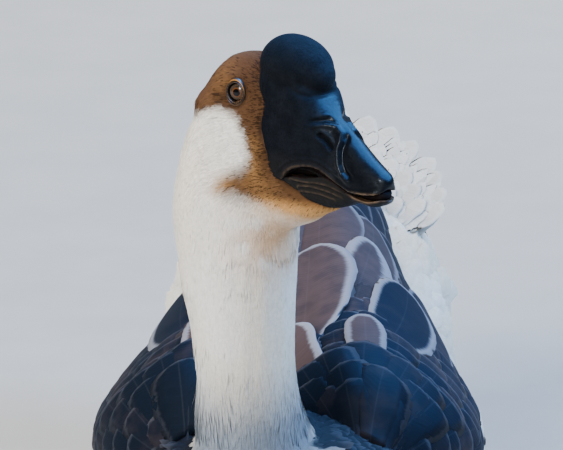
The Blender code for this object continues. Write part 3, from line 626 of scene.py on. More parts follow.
def foot_finish() -> Finish:
    """Matt orange skin of the legs and feet, in small plates, with dark claws."""
    finish = Finish("foot_skin", Roughness=0.5, Specular_IOR_Level=0.4)
    seams = finish.cells(2.1, "DISTANCE_TO_EDGE").outputs["Distance"]
    tint = finish.node("SeparateColor", {0: finish.cells(2.1).outputs["Color"]}).outputs[0]
    base = finish.mix(tint, Colour(0.58, 0.19, 0.03), Colour(0.80, 0.34, 0.08))
    base = finish.mix(finish.ramp(seams, 0.0, 0.12, 0.55, 0.0), base, Colour(0.30, 0.09, 0.02))
    finish.into("Base Color", finish.mix(finish.mark("rim"), base, Colour(0.045, 0.03, 0.022)))
    finish.into("Normal", finish.bump(finish.ramp(seams, 0.0, 0.15), 0.5, 0.35))
    return finish


# ---------------------------------------------------------------- the body's shape


@dataclass
class Flesh:
    """The goose's outline: head, neck and torso as sections that overlap, and the cores of wings and tail."""

    # x, half width, top, height of the widest line and bottom, in the head's frame
    head: tuple = (
        (-40, 10, -10, -28, -48), (-35, 17, 2, -27, -58), (-26, 22.5, 12, -25, -66),
        (-12, 25.5, 18.5, -23, -72), (2, 25, 20, -24, -75), (14, 22.5, 18.5, -28, -76),
        (24, 20, 16, -32, -74), (36, 16, 4, -44, -69), (48, 12.5, -20, -52, -61), (57, 8, -42, -53, -56),
    )
    head_poles: tuple = ((-42, 0, -30), (61, 0, -53))
    # the neck's midline from the breast to the head, with half width and half depth
    neck: tuple = (
        (0, -58, 78, 66, 60), (-4, -96, 98, 52, 48), (-10, -126, 126, 37, 38), (-13.5, -140, 152, 30.5, 33),
        (-15, -148, 180, 27.0, 31), (-16.5, -150, 212, 28.6, 32), (-18, -147, 244, 31.2, 33.5),
        (-19, -141, 272, 33.6, 34.5), (-18.5, -138, 298, 30.5, 31), (-16, -139, 318, 25.0, 26),
        (-12, -141, 336, 15.0, 17),
    )
    # y, half width, top, height of the widest line and bottom
    torso: tuple = (
        (-196, 26, 102, 78, 54), (-186, 49, 120, 76, 30), (-162, 77, 137, 74, 11), (-120, 95, 143, 70, 0),
        (-60, 102, 143, 66, -2), (0, 104, 145, 66, -2), (60, 100, 143, 68, -2), (120, 92, 146, 78, 0),
        (170, 86, 154, 94, 12), (210, 81, 159, 110, 36), (245, 70, 159, 121, 66), (268, 48, 153, 130, 96),
    )
    torso_poles: tuple = ((0, -200, 78), (0, 283, 136))
    torso_squareness: tuple = (2.15, 2.5)
    throat: tuple = (-6.0, 0, -58.0)  # middles of the parts that are evened, this one in the head's frame
    neck_root: tuple = (-6, -118, 132)
    coat_depth: float = 1.8  # room for the body's feathers within the solids
    grain: float = 1.9  # of the remesh that makes them one

    @staticmethod
    def upright(rows: tuple, way: Array, unit_section: tuple) -> Array:
        """Upright sections at places of a table's first column: the place, across and up."""
        table = np.array(rows, float)
        half, top, wide, bottom = smooth(table[:, 0], table[:, 1:], way).T[..., None]
        across, up = unit_section
        z = np.where(up > 0, up * (top - wide), up * (wide - bottom)) + wide
        return np.stack([np.broadcast_to(way[:, None], z.shape), across * half, z], 2)

    def head_surface(self) -> Surface:
        """The head as sections square to its forward axis."""
        x = np.linspace(self.head[0][0], self.head[-1][0], 40)
        rings = self.upright(self.head, x, superellipse(48, 2.1))
        return loft(HEAD.to_goose(rings), *HEAD.to_goose(self.head_poles))

    def neck_axis(self, at: Array) -> Array:
        """The neck's midline and half sizes at stations from 0 to 10."""
        table = np.array(self.neck, float)
        return smooth(np.arange(len(table)), table, at)

    def station(self, z: Array, last: int = 9) -> Array:
        """The neck's station at a height, from 1 to the last one asked for."""
        heights = [row[2] for row in self.neck[1:10]]
        return np.clip(np.interp(z, heights, np.arange(1, 10)), 1, last)

    def neck_surface(self) -> Surface:
        """The neck as ellipses square to its midline."""
        points = self.neck_axis(np.linspace(0, len(self.neck) - 1, 44))
        middle, half, depth = points[:, None, :3], points[:, None, 3:4], points[:, None, 4:5]
        tangent = unit(np.gradient(points[:, :3], axis=0))
        side = unit(np.cross(np.cross(tangent, [1.0, 0, 0]), tangent))
        front = np.cross(tangent, side)
        across, up = (part[None, :, None] for part in superellipse(48, 2.0))
        rings = middle + side[:, None] * (across * half) + front[:, None] * (up * depth)
        return loft(rings, points[0, :3], points[-1, :3])

    def torso_surface(self) -> Surface:
        """The torso as sections square to y, squarer below than above, closer together at its ends."""
        first, last = self.torso[0][0], self.torso[-1][0]
        share = np.linspace(0, 1, 60)
        share = 0.45 * share + 0.55 * (1 - np.cos(np.pi * share)) / 2
        upper, lower = (superellipse(80, power) for power in self.torso_squareness)
        high = np.arange(80) <= 40
        section = tuple(np.where(high, a, b) for a, b in zip(upper, lower))
        rings = self.upright(self.torso, first + (last - first) * share, section)[..., [1, 0, 2]]
        rings[..., 2] = np.maximum(rings[..., 2], 0.2)
        return loft(rings, *np.array(self.torso_poles, float))

    def outline(self) -> Surface:
        """Head, neck and torso in one, evened where they meet, with soft furrows down the neck."""
        whole = fused([self.head_surface(), self.neck_surface(), self.torso_surface()], self.grain)
        near = np.zeros(len(whole.points))
        for at, reach in ((HEAD.to_goose(self.throat), 24), (np.array(self.neck_root, float), 34)):
            near = np.maximum(near, np.clip(2 - np.linalg.norm(whole.points - at, axis=1) / reach, 0, 1))
        whole = whole.relaxed(22, near).relaxed(3)
        points = whole.points
        body = 1 - ease(120, 172, points[:, 2]) * ease(-80, -108, points[:, 1])
        points = points - whole.normals() * (self.coat_depth * body)[:, None]
        depth = ease(150, 185, points[:, 2]) * ease(300, 262, points[:, 2])
        folds = noise(points * [1, 1, 0.16], 9.0, 3) + 0.5 * noise(points * [1, 1, 0.16], 4.5, 5)
        points = points + whole.normals() * (folds * depth * 0.6)[:, None]
        points[:, 2] = np.maximum(points[:, 2], 0.0)
        return Surface(points, whole.faces)


class Region(Enum):
    """Parts of the coat, each one piece."""

    FACE = "coat_face"
    NAPE = "coat_nape"
    THROAT = "coat_neck_upper"
    NECK = "coat_neck_lower"
    BREAST = "coat_breast"
    BELLY = "coat_flanks"
    REAR = "coat_rear"


@dataclass
class MarkingsAndShade:
    """The colours of the coat and the skin by place, with painted shade on the lower neck and round the eyes.
    """

    # the upper and front bound of the white cheek and the patch under it, x and z in the head's frame
    cheek: tuple = (
        (-44, -24), (-33, -17.5), (-25, -12.8), (-11.4, -7.8), (-0.9, -8.3), (6.4, -10.8), (11.1, -18.7),
        (14.5, -29.2), (13.6, -37.7), (6.6, -43.4), (-1, -46.8), (-3, -51.5), (8, -55.5), (20.7, -58),
        (33, -61.5), (50, -65),
    )
    over: float = 2.4  # how far the brown tufts reach over the line
    corners: tuple = ((90, -65), (90, 70), (-70, 70), (-70, -24))

    def brown(self, q: Array) -> Array:
        """How far places of the head's frame lie in the brown parts, from 0 to 1, soft at the bound."""
        flat = q[:, [0, 2]]
        distance, _share = from_path(flat, self.cheek)
        signed = np.abs(distance) * np.where(inside(flat, self.cheek + self.corners), 1, -1)
        soft = 3.0 + 3.4 * ease(-15, -42, q[:, 2])
        signed = signed + self.over + 1.2 * noise(q, 3.5, 11) + 0.8 * noise(q, 1.3, 12)
        return ease(-1, 1, signed / soft)

    def on_head(self, q: Array) -> Array:
        """Colours of the brown parts at places of the head's frame, with painted shade round the eye and in
        the fold behind it.
        """
        x, y, z = q.T
        return layered(Tone.RUFOUS.rgb(), (
            (Tone.CHESTNUT, 0.85 * ease(-4, -20, x) + 0.8 * ease(-30, -44, z) * ease(24, 34, x)),
            (Tone.BUFF, 0.10 * bell(np.hypot(x + 14, z - 4), 10)),
            (Tone.UMBER, 0.40 * bell(np.hypot(x - 14, z - 8), 9)),
            # painted shade in the fold behind and below the eye
            (Tone.UMBER, 0.45 * bell(np.hypot(x + 11, (z + 4) * 1.8), 7)),
            (Tone.BUFF, 0.30 * ease(-16, -28, z) * ease(-48, -40, z) * bell(x - 15, 5)),
            (Tone.UMBER, 0.35 * bell(np.hypot((x - 19) / 1.5, z + 30), 5)),
            (Tone.BUFF, 0.22 * bell(np.hypot((x - 17) / 1.9, z + 48), 6)),
            (Tone.BUFF, 0.55 * ease(6, -6, x) * ease(-38, -45, z)),
            (Tone.BUFF, 0.95 * ease(-50, -59, z) * ease(6, 24, x)),
            (Tone.UMBER, 0.8 * bell(x - 17, 6) * ease(8, 16, z)),
            (Tone.UMBER, 0.5 * bell(np.hypot(x + 1.5, z) - 7.6, 1.4)),  # painted shade round the eye, just outside the lids
            (Tone.STRIPE, ease(-24, -38, x) * ease(24, 4, np.abs(y))),
        ))

    def neck_stripe(self, points: Array) -> Array:
        """Share of the dark stripe down the back of the neck, which turns with the head at its top."""
        turn = HEAD.yaw * ease(215, 300, points[:, 2])
        off = points[:, :2] - Flesh().neck_axis(Flesh().station(points[:, 2], 8))[:, :2]
        back = off[:, 0] * -np.sin(turn) + off[:, 1] * np.cos(turn)
        side = np.abs(off[:, 0] * np.cos(turn) + off[:, 1] * np.sin(turn)) + 1.5 * noise(points, 5, 21)
        width = 6.5 + 3.5 * ease(240, 300, points[:, 2])
        share = ease(3, 12, back) * ease(width + 3, width - 2, side) * ease(128, 142, points[:, 2])
        return share * (points[:, 1] < -80)

    def mantle(self, points: Array) -> Array:
        """Share of the dark feathers between the neck's root and the wings."""
        x, y, z = points.T
        axis = Flesh().neck_axis(Flesh().station(z, 3))
        off = np.hypot(x - axis[:, 0], y - axis[:, 1]) - axis[:, 3]
        off = off + 6.5 * ease(138, 116, z) * ease(0, 15, x - axis[:, 0])
        share = ease(0.3, 2.3, off + 0.8 * noise(points, 7, 35)) * ease(82, 90, z) * ease(-194, -182, y)
        return share * (z < 165) * (y < -60) * ease(-16, -7, y - axis[:, 1])

    def at(self, points: Array) -> Array:
        """Linear colours at places of the goose.

        Args:
            points: (N, 3) places in millimetres.

        Returns:
            (N, 3) colours.
        """
        q = HEAD.from_goose(points)
        x, y, z = points.T
        stain = 0.78 * bell(np.linalg.norm((q - [22, -6, -80]) / [1.3, 1.4, 1.1], axis=1), 19)
        stain = stain + 0.09 * bell(np.hypot((q[:, 0] + 12) / 1.6, q[:, 2] + 48), 16)
        sides = ease(20, 70, z) * ease(-130, -80, y) * ease(185, 120, y) * ease(70, 95, np.abs(x))
        colour = layered(Tone.SNOW.rgb(), (
            (Tone.CREAM, ease(-0.6, 0.6, noise(points, 26, 31))),
            # painted shade: the front of the lower neck darkened to blue-grey, fading out up the neck and
            # down on the breast
            (Tone.NECK_SHADE, 0.92 * ease(202, 146, z) * ease(-100, -150, y) * ease(92, 124, z)),
            (Tone.BUFF, stain * ease(-1.2, 0.3, noise(points, 7, 33))),
            (Tone.ASH, 0.5 * sides),
            (Tone.STRIPE, self.neck_stripe(points) * ease(-8, -22, q[:, 2])),
            (Tone.SLATE, self.mantle(points)),
        ))
        brown = self.brown(q) * ease(230, 250, z) * (y < -60)
        return colour + (self.on_head(q) - colour) * brown[:, None]


@dataclass(frozen=True)
class TuftStyle:
    """One kind of tuft: spacing, mean length and width, thickness, depth of its root and how it stands."""

    spacing: float
    length: float
    width: float
    thickness: float
    sink: float
    lift: float
    stray: float
    vane: bool = False


STYLES = {
    Region.FACE: TuftStyle(0.78, 4.2, 0.62, 0.10, 0.6, 0.02, 0.10),
    Region.NAPE: TuftStyle(0.86, 6.0, 0.80, 0.10, 0.6, 0.01, 0.08),
    Region.THROAT: TuftStyle(1.02, 10.0, 1.15, 0.11, 0.8, 0.0, 0.05),
    Region.NECK: TuftStyle(1.15, 13.0, 1.35, 0.13, 0.9, 0.0, 0.05),
    Region.BREAST: TuftStyle(3.7, 25.0, 10.0, 0.24, 2.2, 0.12, 0.10, True),
    Region.BELLY: TuftStyle(4.4, 33.0, 14.0, 0.26, 2.4, 0.16, 0.08, True),
    Region.REAR: TuftStyle(4.2, 34.0, 13.0, 0.26, 2.4, 0.20, 0.10, True),
}


def spike_template() -> tuple[Array, Array, Array, list[Array]]:
    """A slim tuft with a three-sided section: its stations along, across and up, and its faces."""
    s = np.array([0, 0.34, 0.34, 0.34, 0.72, 0.72, 0.72, 1.0])
    t = np.array([0, -1, 0, 1, -0.8, 0, 0.8, 0])
    h = np.array([0, 0, 1, 0, 0, 0.8, 0, 0])
    faces = [(0, 1, 2), (0, 2, 3), (0, 3, 1), (4, 7, 5), (5, 7, 6), (6, 7, 4)]
    quads = [(1, 4, 5, 2), (2, 5, 6, 3), (3, 6, 4, 1)]
    return s, t, h, [np.array(faces), np.array(quads)]


def lens_template(along: Array, across: Array) -> tuple[Array, Array, Array, list[Array]]:
    """A closed thin vane: an upper and a lower grid that share their rim.

    Args:
        along: stations from root to tip.
        across: stations from one edge to the other.

    Returns:
        For each point its place along, across and up (1, 0 at the rim or -1), and the quads.
    """
    n, m = len(along), len(across)
    s, t = np.meshgrid(along, across, indexing="ij")
    top = np.arange(n * m).reshape(n, m)
    inner = np.zeros((n, m), bool)
    inner[1:-1, 1:-1] = True
    under = top.copy()
    under[inner] = n * m + np.arange(inner.sum())
    up = np.concatenate([inner.ravel().astype(float), -np.ones(inner.sum())])
    s, t = (np.concatenate([a.ravel(), a[inner]]) for a in (s, t))

    def quads(g: Array, turn: bool) -> Array:
        """The cells of a grid."""
        q = np.stack([g[:-1, :-1], g[:-1, 1:], g[1:, 1:], g[1:, :-1]], -1).reshape(-1, 4)
        return q[:, ::-1] if turn else q

    return s, t, up, [np.vstack([quads(top, False), quads(under, True)])]


def shell_template(along: Array, across: Array) -> tuple[Array, Array, Array, list[Array]]:
    """A small closed vane: a grid above and one strip across below, which share the rim.

    Args:
        along: stations from root to tip.
        across: stations from one edge to the other.

    Returns:
        For each point its place along, across and up (1 inside, 0 at the rim), and the faces.
    """
    n, m = len(along), len(across)
    s, t = (a.ravel() for a in np.meshgrid(along, across, indexing="ij"))
    grid = np.arange(n * m).reshape(n, m)
    up = np.zeros((n, m))
    up[1:-1, 1:-1] = 1
    top = np.stack([grid[:-1, :-1], grid[1:, :-1], grid[1:, 1:], grid[:-1, 1:]], -1).reshape(-1, 4)
    strip = np.stack([grid[:-1, -1], grid[1:, -1], grid[1:, 0], grid[:-1, 0]], -1)
    k = np.arange(1, m - 1)
    tip = np.stack([np.full(m - 2, grid[-1, 0]), grid[-1, k + 1], grid[-1, k]], -1)
    root = np.stack([np.full(m - 2, grid[0, 0]), grid[0, k], grid[0, k + 1]], -1)
    return s, t, up.ravel(), [np.vstack([top, strip]), np.vstack([tip, root])]


def vane_outline(s: Array, root: float = 0.5, tip_from: float = 0.72) -> Array:
    """Half width of a feather as a share of its widest: it swells from the root and ends in a round tip."""
    body = root + (1 - root) * ease(0, 0.55, s)
    t = np.clip((s - tip_from) / (1.0 - tip_from), 0, 1)
    return body * np.sqrt(np.clip(1 - t**2.2, 0.006, 1))


def jitter(rng: np.random.Generator, shape: int | tuple, bound: float = 2.0) -> Array:
    """Normal random numbers, held within a bound."""
    return rng.standard_normal(shape).clip(-bound, bound)


def repeated(faces: list[Array], times: int, size: int) -> list[Array]:
    """A template's faces once for each of many bodies of that many points."""
    shift = (np.arange(times) * size)[:, None, None]
    return [(f[None] + shift).reshape(-1, f.shape[1]) for f in faces]


def volumes(points: Array, faces: list[Array]) -> Array:
    """Six times the volume of each closed body of points (N, k, 3), negative where it is inside out."""
    total = 0
    for f in faces:
        for k in range(1, f.shape[1] - 1):
            fan = points[:, f[:, [0, k, k + 1]]] - points[:, :1, None]
            total = total + (fan[..., 0, :] * np.cross(fan[..., 1, :], fan[..., 2, :])).sum((1, 2))
    return total


@dataclass
class Coat:
    """The small feathers: places on the outline, a lie for each, and a closed tuft at each place."""

    outline: Surface
    markings_and_shade: MarkingsAndShade
    wing: "Wing"
    eye_clear: tuple = (5.6, 6.9)  # half sizes of the ring kept free round an eye
    patch: float = 0.003  # size of a tuft on the OFBake map
    lattice: tuple = (4096, 2000)  # its cells along each way, and the number of the middle one
    triangles: Array = field(init=False)
    normals: Array = field(init=False)
    regions: Array = field(init=False)

    def __post_init__(self) -> None:
        """Works out what every region shares."""
        self.triangles = self.outline.triangles()
        self.normals = self.outline.relaxed(4).normals()
        self.regions = self.region(self.outline.points[self.triangles].mean(1))

    def lie(self, points: Array, normals: Array) -> Array:
        """Unit directions in which the coat lies: back over the head, down the neck, back along the body."""
        q = HEAD.from_goose(points)
        x, _y, z = q.T
        back = -np.clip((x + 46) / 40, 0.12, 1)
        down = -(0.22 + 1.1 * ease(-8, -36, x) + 0.35 * ease(0, -30, z) * ease(20, -10, x))
        down = down + 0.5 * ease(2, 16, z) * ease(-20, 0, x)
        head = np.stack([back, 0 * x, down], 1) @ HEAD.axes()
        neck = np.stack([0 * x, 0 * x, -np.ones_like(x)], 1)
        slope = -2.1 * ease(-70, -150, points[:, 1]) - 0.10
        slope = slope + 0.35 * ease(150, 240, points[:, 1])
        body = np.stack([0 * x, np.ones_like(x), slope], 1)
        on_head = ease(-72, -42, z)[:, None]
        on_neck = (ease(118, 172, points[:, 2]) * ease(-80, -108, points[:, 1]))[:, None]
        way = body + (neck - body) * on_neck
        way = way + (head - way) * (on_head * on_neck)
        return unit(way - (way * normals).sum(-1, keepdims=True) * normals)

    def region(self, points: Array) -> Array:
        """The number of the region that each place belongs to, or -1 where nothing grows."""
        q = HEAD.from_goose(points)
        x, y, z = points.T
        neck = (y < -100) & (z > 150) | (z > 185)
        where = [neck & (z > 268) & (q[:, 0] > -2), neck & (z > 268), neck & (z > 206), neck, y < -70, y < 95]
        bare = (Bill.over_face(q) > 1.9) & (z > 250)
        for side in SIDES.values():
            e = Eye(side).from_goose(points)
            bare |= (np.hypot(e[:, 0] / self.eye_clear[0], e[:, 2] / self.eye_clear[1]) < 1) & (e[:, 1] > 0)
        bare |= (z < 1.2) & (np.abs(x) < 60)
        bare |= (np.abs(np.abs(x) - 61) < 13) & (z < 18) & (y > 30) & (y < 142)  # over the shanks
        bare |= self.wing.covers(points, 9.0)
        return np.where(bare, -1, np.select(where, list(range(len(where))), len(where)))

    def scatter(self, number: int, spacing: float, rng: np.random.Generator) -> dict[str, Array]:
        """Even random places on the outline.

        Candidates fall on the triangles by area. Each cell of a lattice keeps the one nearest to its own
        random middle, and of two in neighbouring cells that stand too close, one goes.

        Args:
            number: the region's number.
            spacing: the lattice's step.
            rng: the random numbers.

        Returns:
            at, normal, along and the bends along and across, one row for each place.
        """
        tri = self.triangles
        corners = self.outline.points[tri]
        one, two = corners[:, 1] - corners[:, 0], corners[:, 2] - corners[:, 0]
        area = np.where(self.regions == number, np.linalg.norm(np.cross(one, two), axis=1) / 2, 0)
        chosen = rng.choice(len(tri), int(5 * area.sum() / spacing**2), p=area / area.sum())
        a, b = rng.random((2, len(chosen)))
        over = a + b > 1
        a, b = np.where(over, 1 - a, a), np.where(over, 1 - b, b)
        weight = np.stack([1 - a - b, a, b], 1)[..., None]
        at = (corners[chosen] * weight).sum(1)

        cells, middle = self.lattice
        cell = np.floor(at / spacing).astype(np.int64) + middle
        key = (cell[:, 0] * cells + cell[:, 1]) * cells + cell[:, 2]
        offset = np.stack([((key * prime) % 1009) / 1009 for prime in (7919, 104729, 1299709)], 1)
        gap = np.linalg.norm(at - (cell - middle + 0.25 + 0.5 * offset) * spacing, axis=1)
        order = np.lexsort((gap, key))
        keys, first = np.unique(key[order], return_index=True)
        pick = order[first]
        places, drop = at[pick], np.zeros(len(pick), bool)
        for step in product((-1, 0, 1), repeat=3):
            if step > (0, 0, 0):
                wanted = keys + (step[0] * cells + step[1]) * cells + step[2]
                other = np.clip(np.searchsorted(keys, wanted), 0, len(keys) - 1)
                near = np.linalg.norm(places - places[other], axis=1) < 0.62 * spacing
                drop[other[(keys[other] == wanted) & ~drop & near]] = True

        pick = pick[~drop]
        place, weight, at = chosen[pick], weight[pick], at[pick]
        n, e1, e2 = self.normals[tri[place]], one[place], two[place]
        normal = unit((n * weight).sum(1))
        along = self.lie(at, normal)
        aa, ab, bb = (e1 * e1).sum(1), (e1 * e2).sum(1), (e2 * e2).sum(1)
        det = aa * bb - ab**2

        def bend(way: Array) -> Array:
            """How fast the normal tips over along a way, in each millimetre."""
            u, v = (e1 * way).sum(1), (e2 * way).sum(1)
            f, g = (u * bb - v * ab) / det, (v * aa - u * ab) / det
            turn = (n[:, 1] - n[:, 0]) * f[:, None] + (n[:, 2] - n[:, 0]) * g[:, None]
            return (turn * way).sum(1)

        across = np.cross(normal, along)
        return {"at": at, "normal": normal, "along": along, "bend": bend(along), "roll": bend(across)}

    def unwrap(self, points: Array) -> Array:
        """Each place on a chart of the skin: the turn about the body's own line, and the way along it."""
        q = HEAD.from_goose(points)
        x, y, z = points.T
        middle = Flesh().neck_axis(Flesh().station(z))
        high = ease(120, 170, z) * ease(-80, -108, y)
        parts = [ease(262, 275, z) * high > 0.5, high > 0.5]
        round_head = np.arctan2(q[:, 1], q[:, 2] + 28)
        round_neck = np.arctan2(x - middle[:, 0], -(y - middle[:, 1]))
        turn = np.select(parts, [round_head, round_neck], np.arctan2(x, 70 - z))
        chart = np.stack([turn, np.select(parts, [q[:, 0], z], y)], 1)
        low, top = chart.min(0), chart.max(0)
        return 0.01 + 0.98 * (chart - low) / np.maximum(top - low, 1e-6)

    def grow(self, region: Region, finish: Finish, rng: np.random.Generator) -> bpy.types.Object:
        """Makes one region's tufts as a single closed-tuft mesh.

        Args:
            region: which.
            finish: its material.
            rng: the random numbers.

        Returns:
            The piece.
        """
        style = STYLES[region]
        roots = self.scatter(list(Region).index(region), style.spacing, rng)
        normal, ahead, count = roots["normal"], roots["along"], len(roots["at"])
        turn = rng.normal(0, style.stray, count)[:, None]
        left = np.cross(normal, ahead)
        along = ahead * np.cos(turn) + left * np.sin(turn)
        across = left * np.cos(turn) - ahead * np.sin(turn)
        size = self.size_at(roots["at"], region) * (1 + 0.18 * jitter(rng, count))
        length, half = style.length * size, (style.width * np.sqrt(size))[:, None] / 2

        if style.vane:
            s, t, up, faces = shell_template(np.array([0, 0.3, 0.62, 0.86, 1.0]), np.linspace(-1, 1, 5))
            spread = (0.45 + 0.55 * ease(0, 0.6, s)) * (1 - 0.30 * ease(0.75, 1.0, s))
            fringe = 0.22 * t**2 + 0.07 * np.minimum(jitter(rng, (count, len(s))), 1.5)
            run = length[:, None] * s * (1 - ease(0.4, 1.0, s) * fringe)
            side = half * spread * t
            side = side * (1 + 0.07 * jitter(rng, side.shape) * (np.abs(t) > 0.7) * (s > 0.2))
            camber, tilt, raised = 0.055 * half * (1 - t**2) * ease(0, 0.3, s), 0.42, 0.5
        else:
            s, t, up, faces = spike_template()
            spread = np.ones_like(s)
            run, side = length[:, None] * s, half * spread * t
            camber, tilt, raised = 0.0, 0.22, 1.0

        arc = np.clip(roots["bend"], -0.02, 0.06)[:, None] * run
        rise = -style.sink + (style.sink - 0.08) * ease(0.0, 0.45, s) + style.lift * s**2
        rise = rise + rng.normal(0, 0.15 * style.thickness + 0.12 * style.lift, count)[:, None] * s
        rise = rise + style.thickness * up * raised * (1 - 0.5 * s) + camber
        rise = rise - run * (arc / 2) * np.sinc(arc / (2 * np.pi)) ** 2
        rise = rise - np.clip(roots["roll"], -0.01, 0.06)[:, None] * side**2 / 2
        points = (
            roots["at"][:, None]
            + along[:, None] * (run * np.sinc(arc / np.pi))[..., None]
            + across[:, None] * side[..., None]
            + normal[:, None] * rise[..., None]
        )
        clear = (points[..., 2].min(1) > 0.1) & (volumes(points, faces) > 0)  # off the ground, not inside out
        rows = (points, arc, along, across, normal, roots["at"], length)
        points, arc, along, across, normal, places, length = (each[clear] for each in rows)

        seen = places + along * (0.7 * length)[:, None]
        # each tuft runs darker towards its root: partly painted shade where the tufts overlap, partly a
        # greyer base
        colour = self.tinted(seen, rng)[:, None] * (0.93 + 0.07 * ease(0.1, 0.9, s))[None, :, None]
        if style.vane:  # dark body feathers have pale tips
            pale = ease(0.2, 0.05, colour[:, :, 2]) * ease(0.70, 0.95, s) * 0.30
            colour = layered(colour, ((Tone.PALE_EDGE, pale),))
        uv = self.unwrap(places)[:, None] + np.stack([t * 0.5 * spread, s - 0.5], -1)[None] * self.patch
        lie = normal[:, None] * np.cos(arc)[..., None] + along[:, None] * np.sin(arc)[..., None]
        lie = lie + across[:, None] * (tilt * t)[None, :, None] + along[:, None] * (0.10 * s)[None, :, None]
        surface = Surface(points.reshape(-1, 3), repeated(faces, len(points), len(s)))
        marks = {"markings_and_shade": colour.reshape(-1, 3)}
        return mesh_piece(region.value, surface, finish, marks, uv.reshape(-1, 2), unit(lie).reshape(-1, 3))

    def size_at(self, points: Array, region: Region) -> Array:
        """Tufts' size as a share of their style's: small by the bill, the eyes and the top of the breast."""
        q = HEAD.from_goose(points)
        if region is Region.FACE:
            near_eye = 0.7 + 0.3 * ease(7, 17, np.hypot(q[:, 0], q[:, 2]))
            return (0.62 + 0.38 * ease(24, 4, q[:, 0])) * near_eye * (1 + 0.45 * ease(-40, -66, q[:, 2]))
        if region is Region.NECK:
            return 1 + 0.55 * ease(190, 150, points[:, 2])
        if region is Region.BREAST:
            return 0.62 + 0.38 * ease(-190, -110, points[:, 1]) * ease(150, 90, points[:, 2])
        return np.ones(len(points))

    def tinted(self, places: Array, rng: np.random.Generator) -> Array:
        """Each tuft's colour, uneven most in the head's brown, with dark ones near the bill and the crown."""
        q = HEAD.from_goose(places)
        uneven = (0.02 + 0.08 * ease(-70, -50, q[:, 2])) * jitter(rng, len(q))
        colour = self.markings_and_shade.at(places) * (1 + uneven)[:, None]
        share = 0.06 + 0.30 * bell(q[:, 0] - 17, 6) + 0.75 * ease(4, 14, q[:, 2]) * ease(-4, 14, q[:, 0])
        share = share * (colour[:, 2] < 0.25) * (places[:, 2] > 240)
        return np.where((rng.random(len(q)) < share)[:, None], colour * 0.38, colour)


# ---------------------------------------------------------------- wings and tail


@dataclass
class Vanes:
    """Large feathers laid on a sheet: one row of every array for each feather, or one value for all.

    The sheet gives points and normals for two parameters. A feather's line runs straight from its root to its
    tip on it, its edges follow the sheet, and its height over it rises evenly, so a row lies on the next.
    """

    sheet: "Wing | Tail"
    root: Array
    tip: Array
    width: Array | float
    height: Array  # at the root and at the tip
    tilt: Array | float  # how much one edge stands over the other
    tone: Array | float
    rim: Array | float
    margin: Array | float
    thickness: float = 0.55
    camber: float = 0.06
    along: int = 9
    across: int = 5
    root_width: float = 0.55
    tip_from: float = 0.72
    ragged: float = 0.02
    soft: float = 0.0  # how far the light reads the sheet's own normals
    values: ClassVar[tuple] = ("width", "tilt", "tone", "rim", "margin")

    def __post_init__(self) -> None:
        """Gives each feather its own value where there is one for all."""
        for key in self.values:
            setattr(self, key, np.broadcast_to(np.asarray(getattr(self, key), float), (len(self.root),)))

    @staticmethod
    def joined(groups: list["Vanes"]) -> "Vanes":
        """Groups of one sheet and one make as a single group."""
        keys = ("root", "tip", "height", *Vanes.values)
        return replace(groups[0], **{key: np.concatenate([getattr(g, key) for g in groups]) for key in keys})

    def build(self, name: str, finish: Finish, seed: int, side: int = 1) -> bpy.types.Object:
        """Makes them one piece.

        Args:
            name: the piece's name.
            finish: its material.
            seed: of the ragged edges.
            side: -1 mirrors it to the goose's right.

        Returns:
            The piece.
        """
        rng = np.random.default_rng(seed)
        stations = 1 - (1 - np.linspace(0, 1, self.along)) ** 1.35
        s, t, up, faces = lens_template(stations, np.linspace(-1, 1, self.across))
        count, way = len(self.root), self.tip - self.root
        line = self.root[:, None] + way[:, None] * s[:, None]
        a, b = line[..., 0], line[..., 1]
        scales = []  # millimetres for each unit of the sheet's two parameters
        for da, db in ((0.5, 0), (0, self.sheet.step)):
            run = self.sheet.at(a + da, b + db) - self.sheet.at(a - da, b - db)
            scales.append(np.linalg.norm(run, axis=-1) / (2 * (da + db)))
        ca, cb = (way[:, None, k] * scales[k] for k in (0, 1))
        length = np.hypot(ca, cb)
        half = self.width[:, None] / 2 * vane_outline(s, self.root_width, self.tip_from)
        notch = 1 + self.ragged * jitter(rng, (count, len(s))) * (np.abs(t) > 0.99)
        side_way = half * t * notch
        a, b = a - cb / length / scales[0] * side_way, b + ca / length / scales[1] * side_way
        rise = self.height[:, :1] + (self.height[:, 1:] - self.height[:, :1]) * s
        rise = rise + self.tilt[:, None] * t + self.camber * half * (1 - t**2) + self.thickness / 2 * up
        normal = self.sheet.normal(a, b)
        points = (self.sheet.at(a, b) + normal * rise[..., None]).reshape(-1, 3) * [side, 1, 1]

        mean = length.mean(1)[:, None]
        to_edge = np.minimum((1 - np.abs(t)) * half, (1 - s) * mean * 0.9)
        marks = {
            "edge": (to_edge / self.margin[:, None]).ravel(), "across": side_way.ravel(),
            "along": (mean * s + rng.random(count)[:, None] * 60).ravel(),
            "tone": np.repeat(self.tone, len(s)), "rim": np.repeat(self.rim, len(s)),
        }
        order = np.empty(count, int)
        order[np.lexsort((self.root[:, 1], np.round(self.root[:, 0] / 12)))] = np.arange(count)
        cells = math.ceil(math.sqrt(count))
        corner = np.stack([order % cells, order // cells], 1)[:, None]
        uv = (corner + 0.06 + 0.88 * np.stack([(t + 1) / 2, s], 1)[None]) / cells

        surface = outward(Surface(points, repeated(faces, count, len(s))))
        own, sheet = surface.normals(), normal.reshape(-1, 3) * [side, 1, 1]
        sheet = sheet * np.where((own * sheet).sum(1) < -0.2, -1, 1)[:, None]
        lie = unit(own + (sheet - own) * self.soft) if self.soft else None
        return mesh_piece(name, surface, finish, marks, uv.reshape(-1, 2), lie)


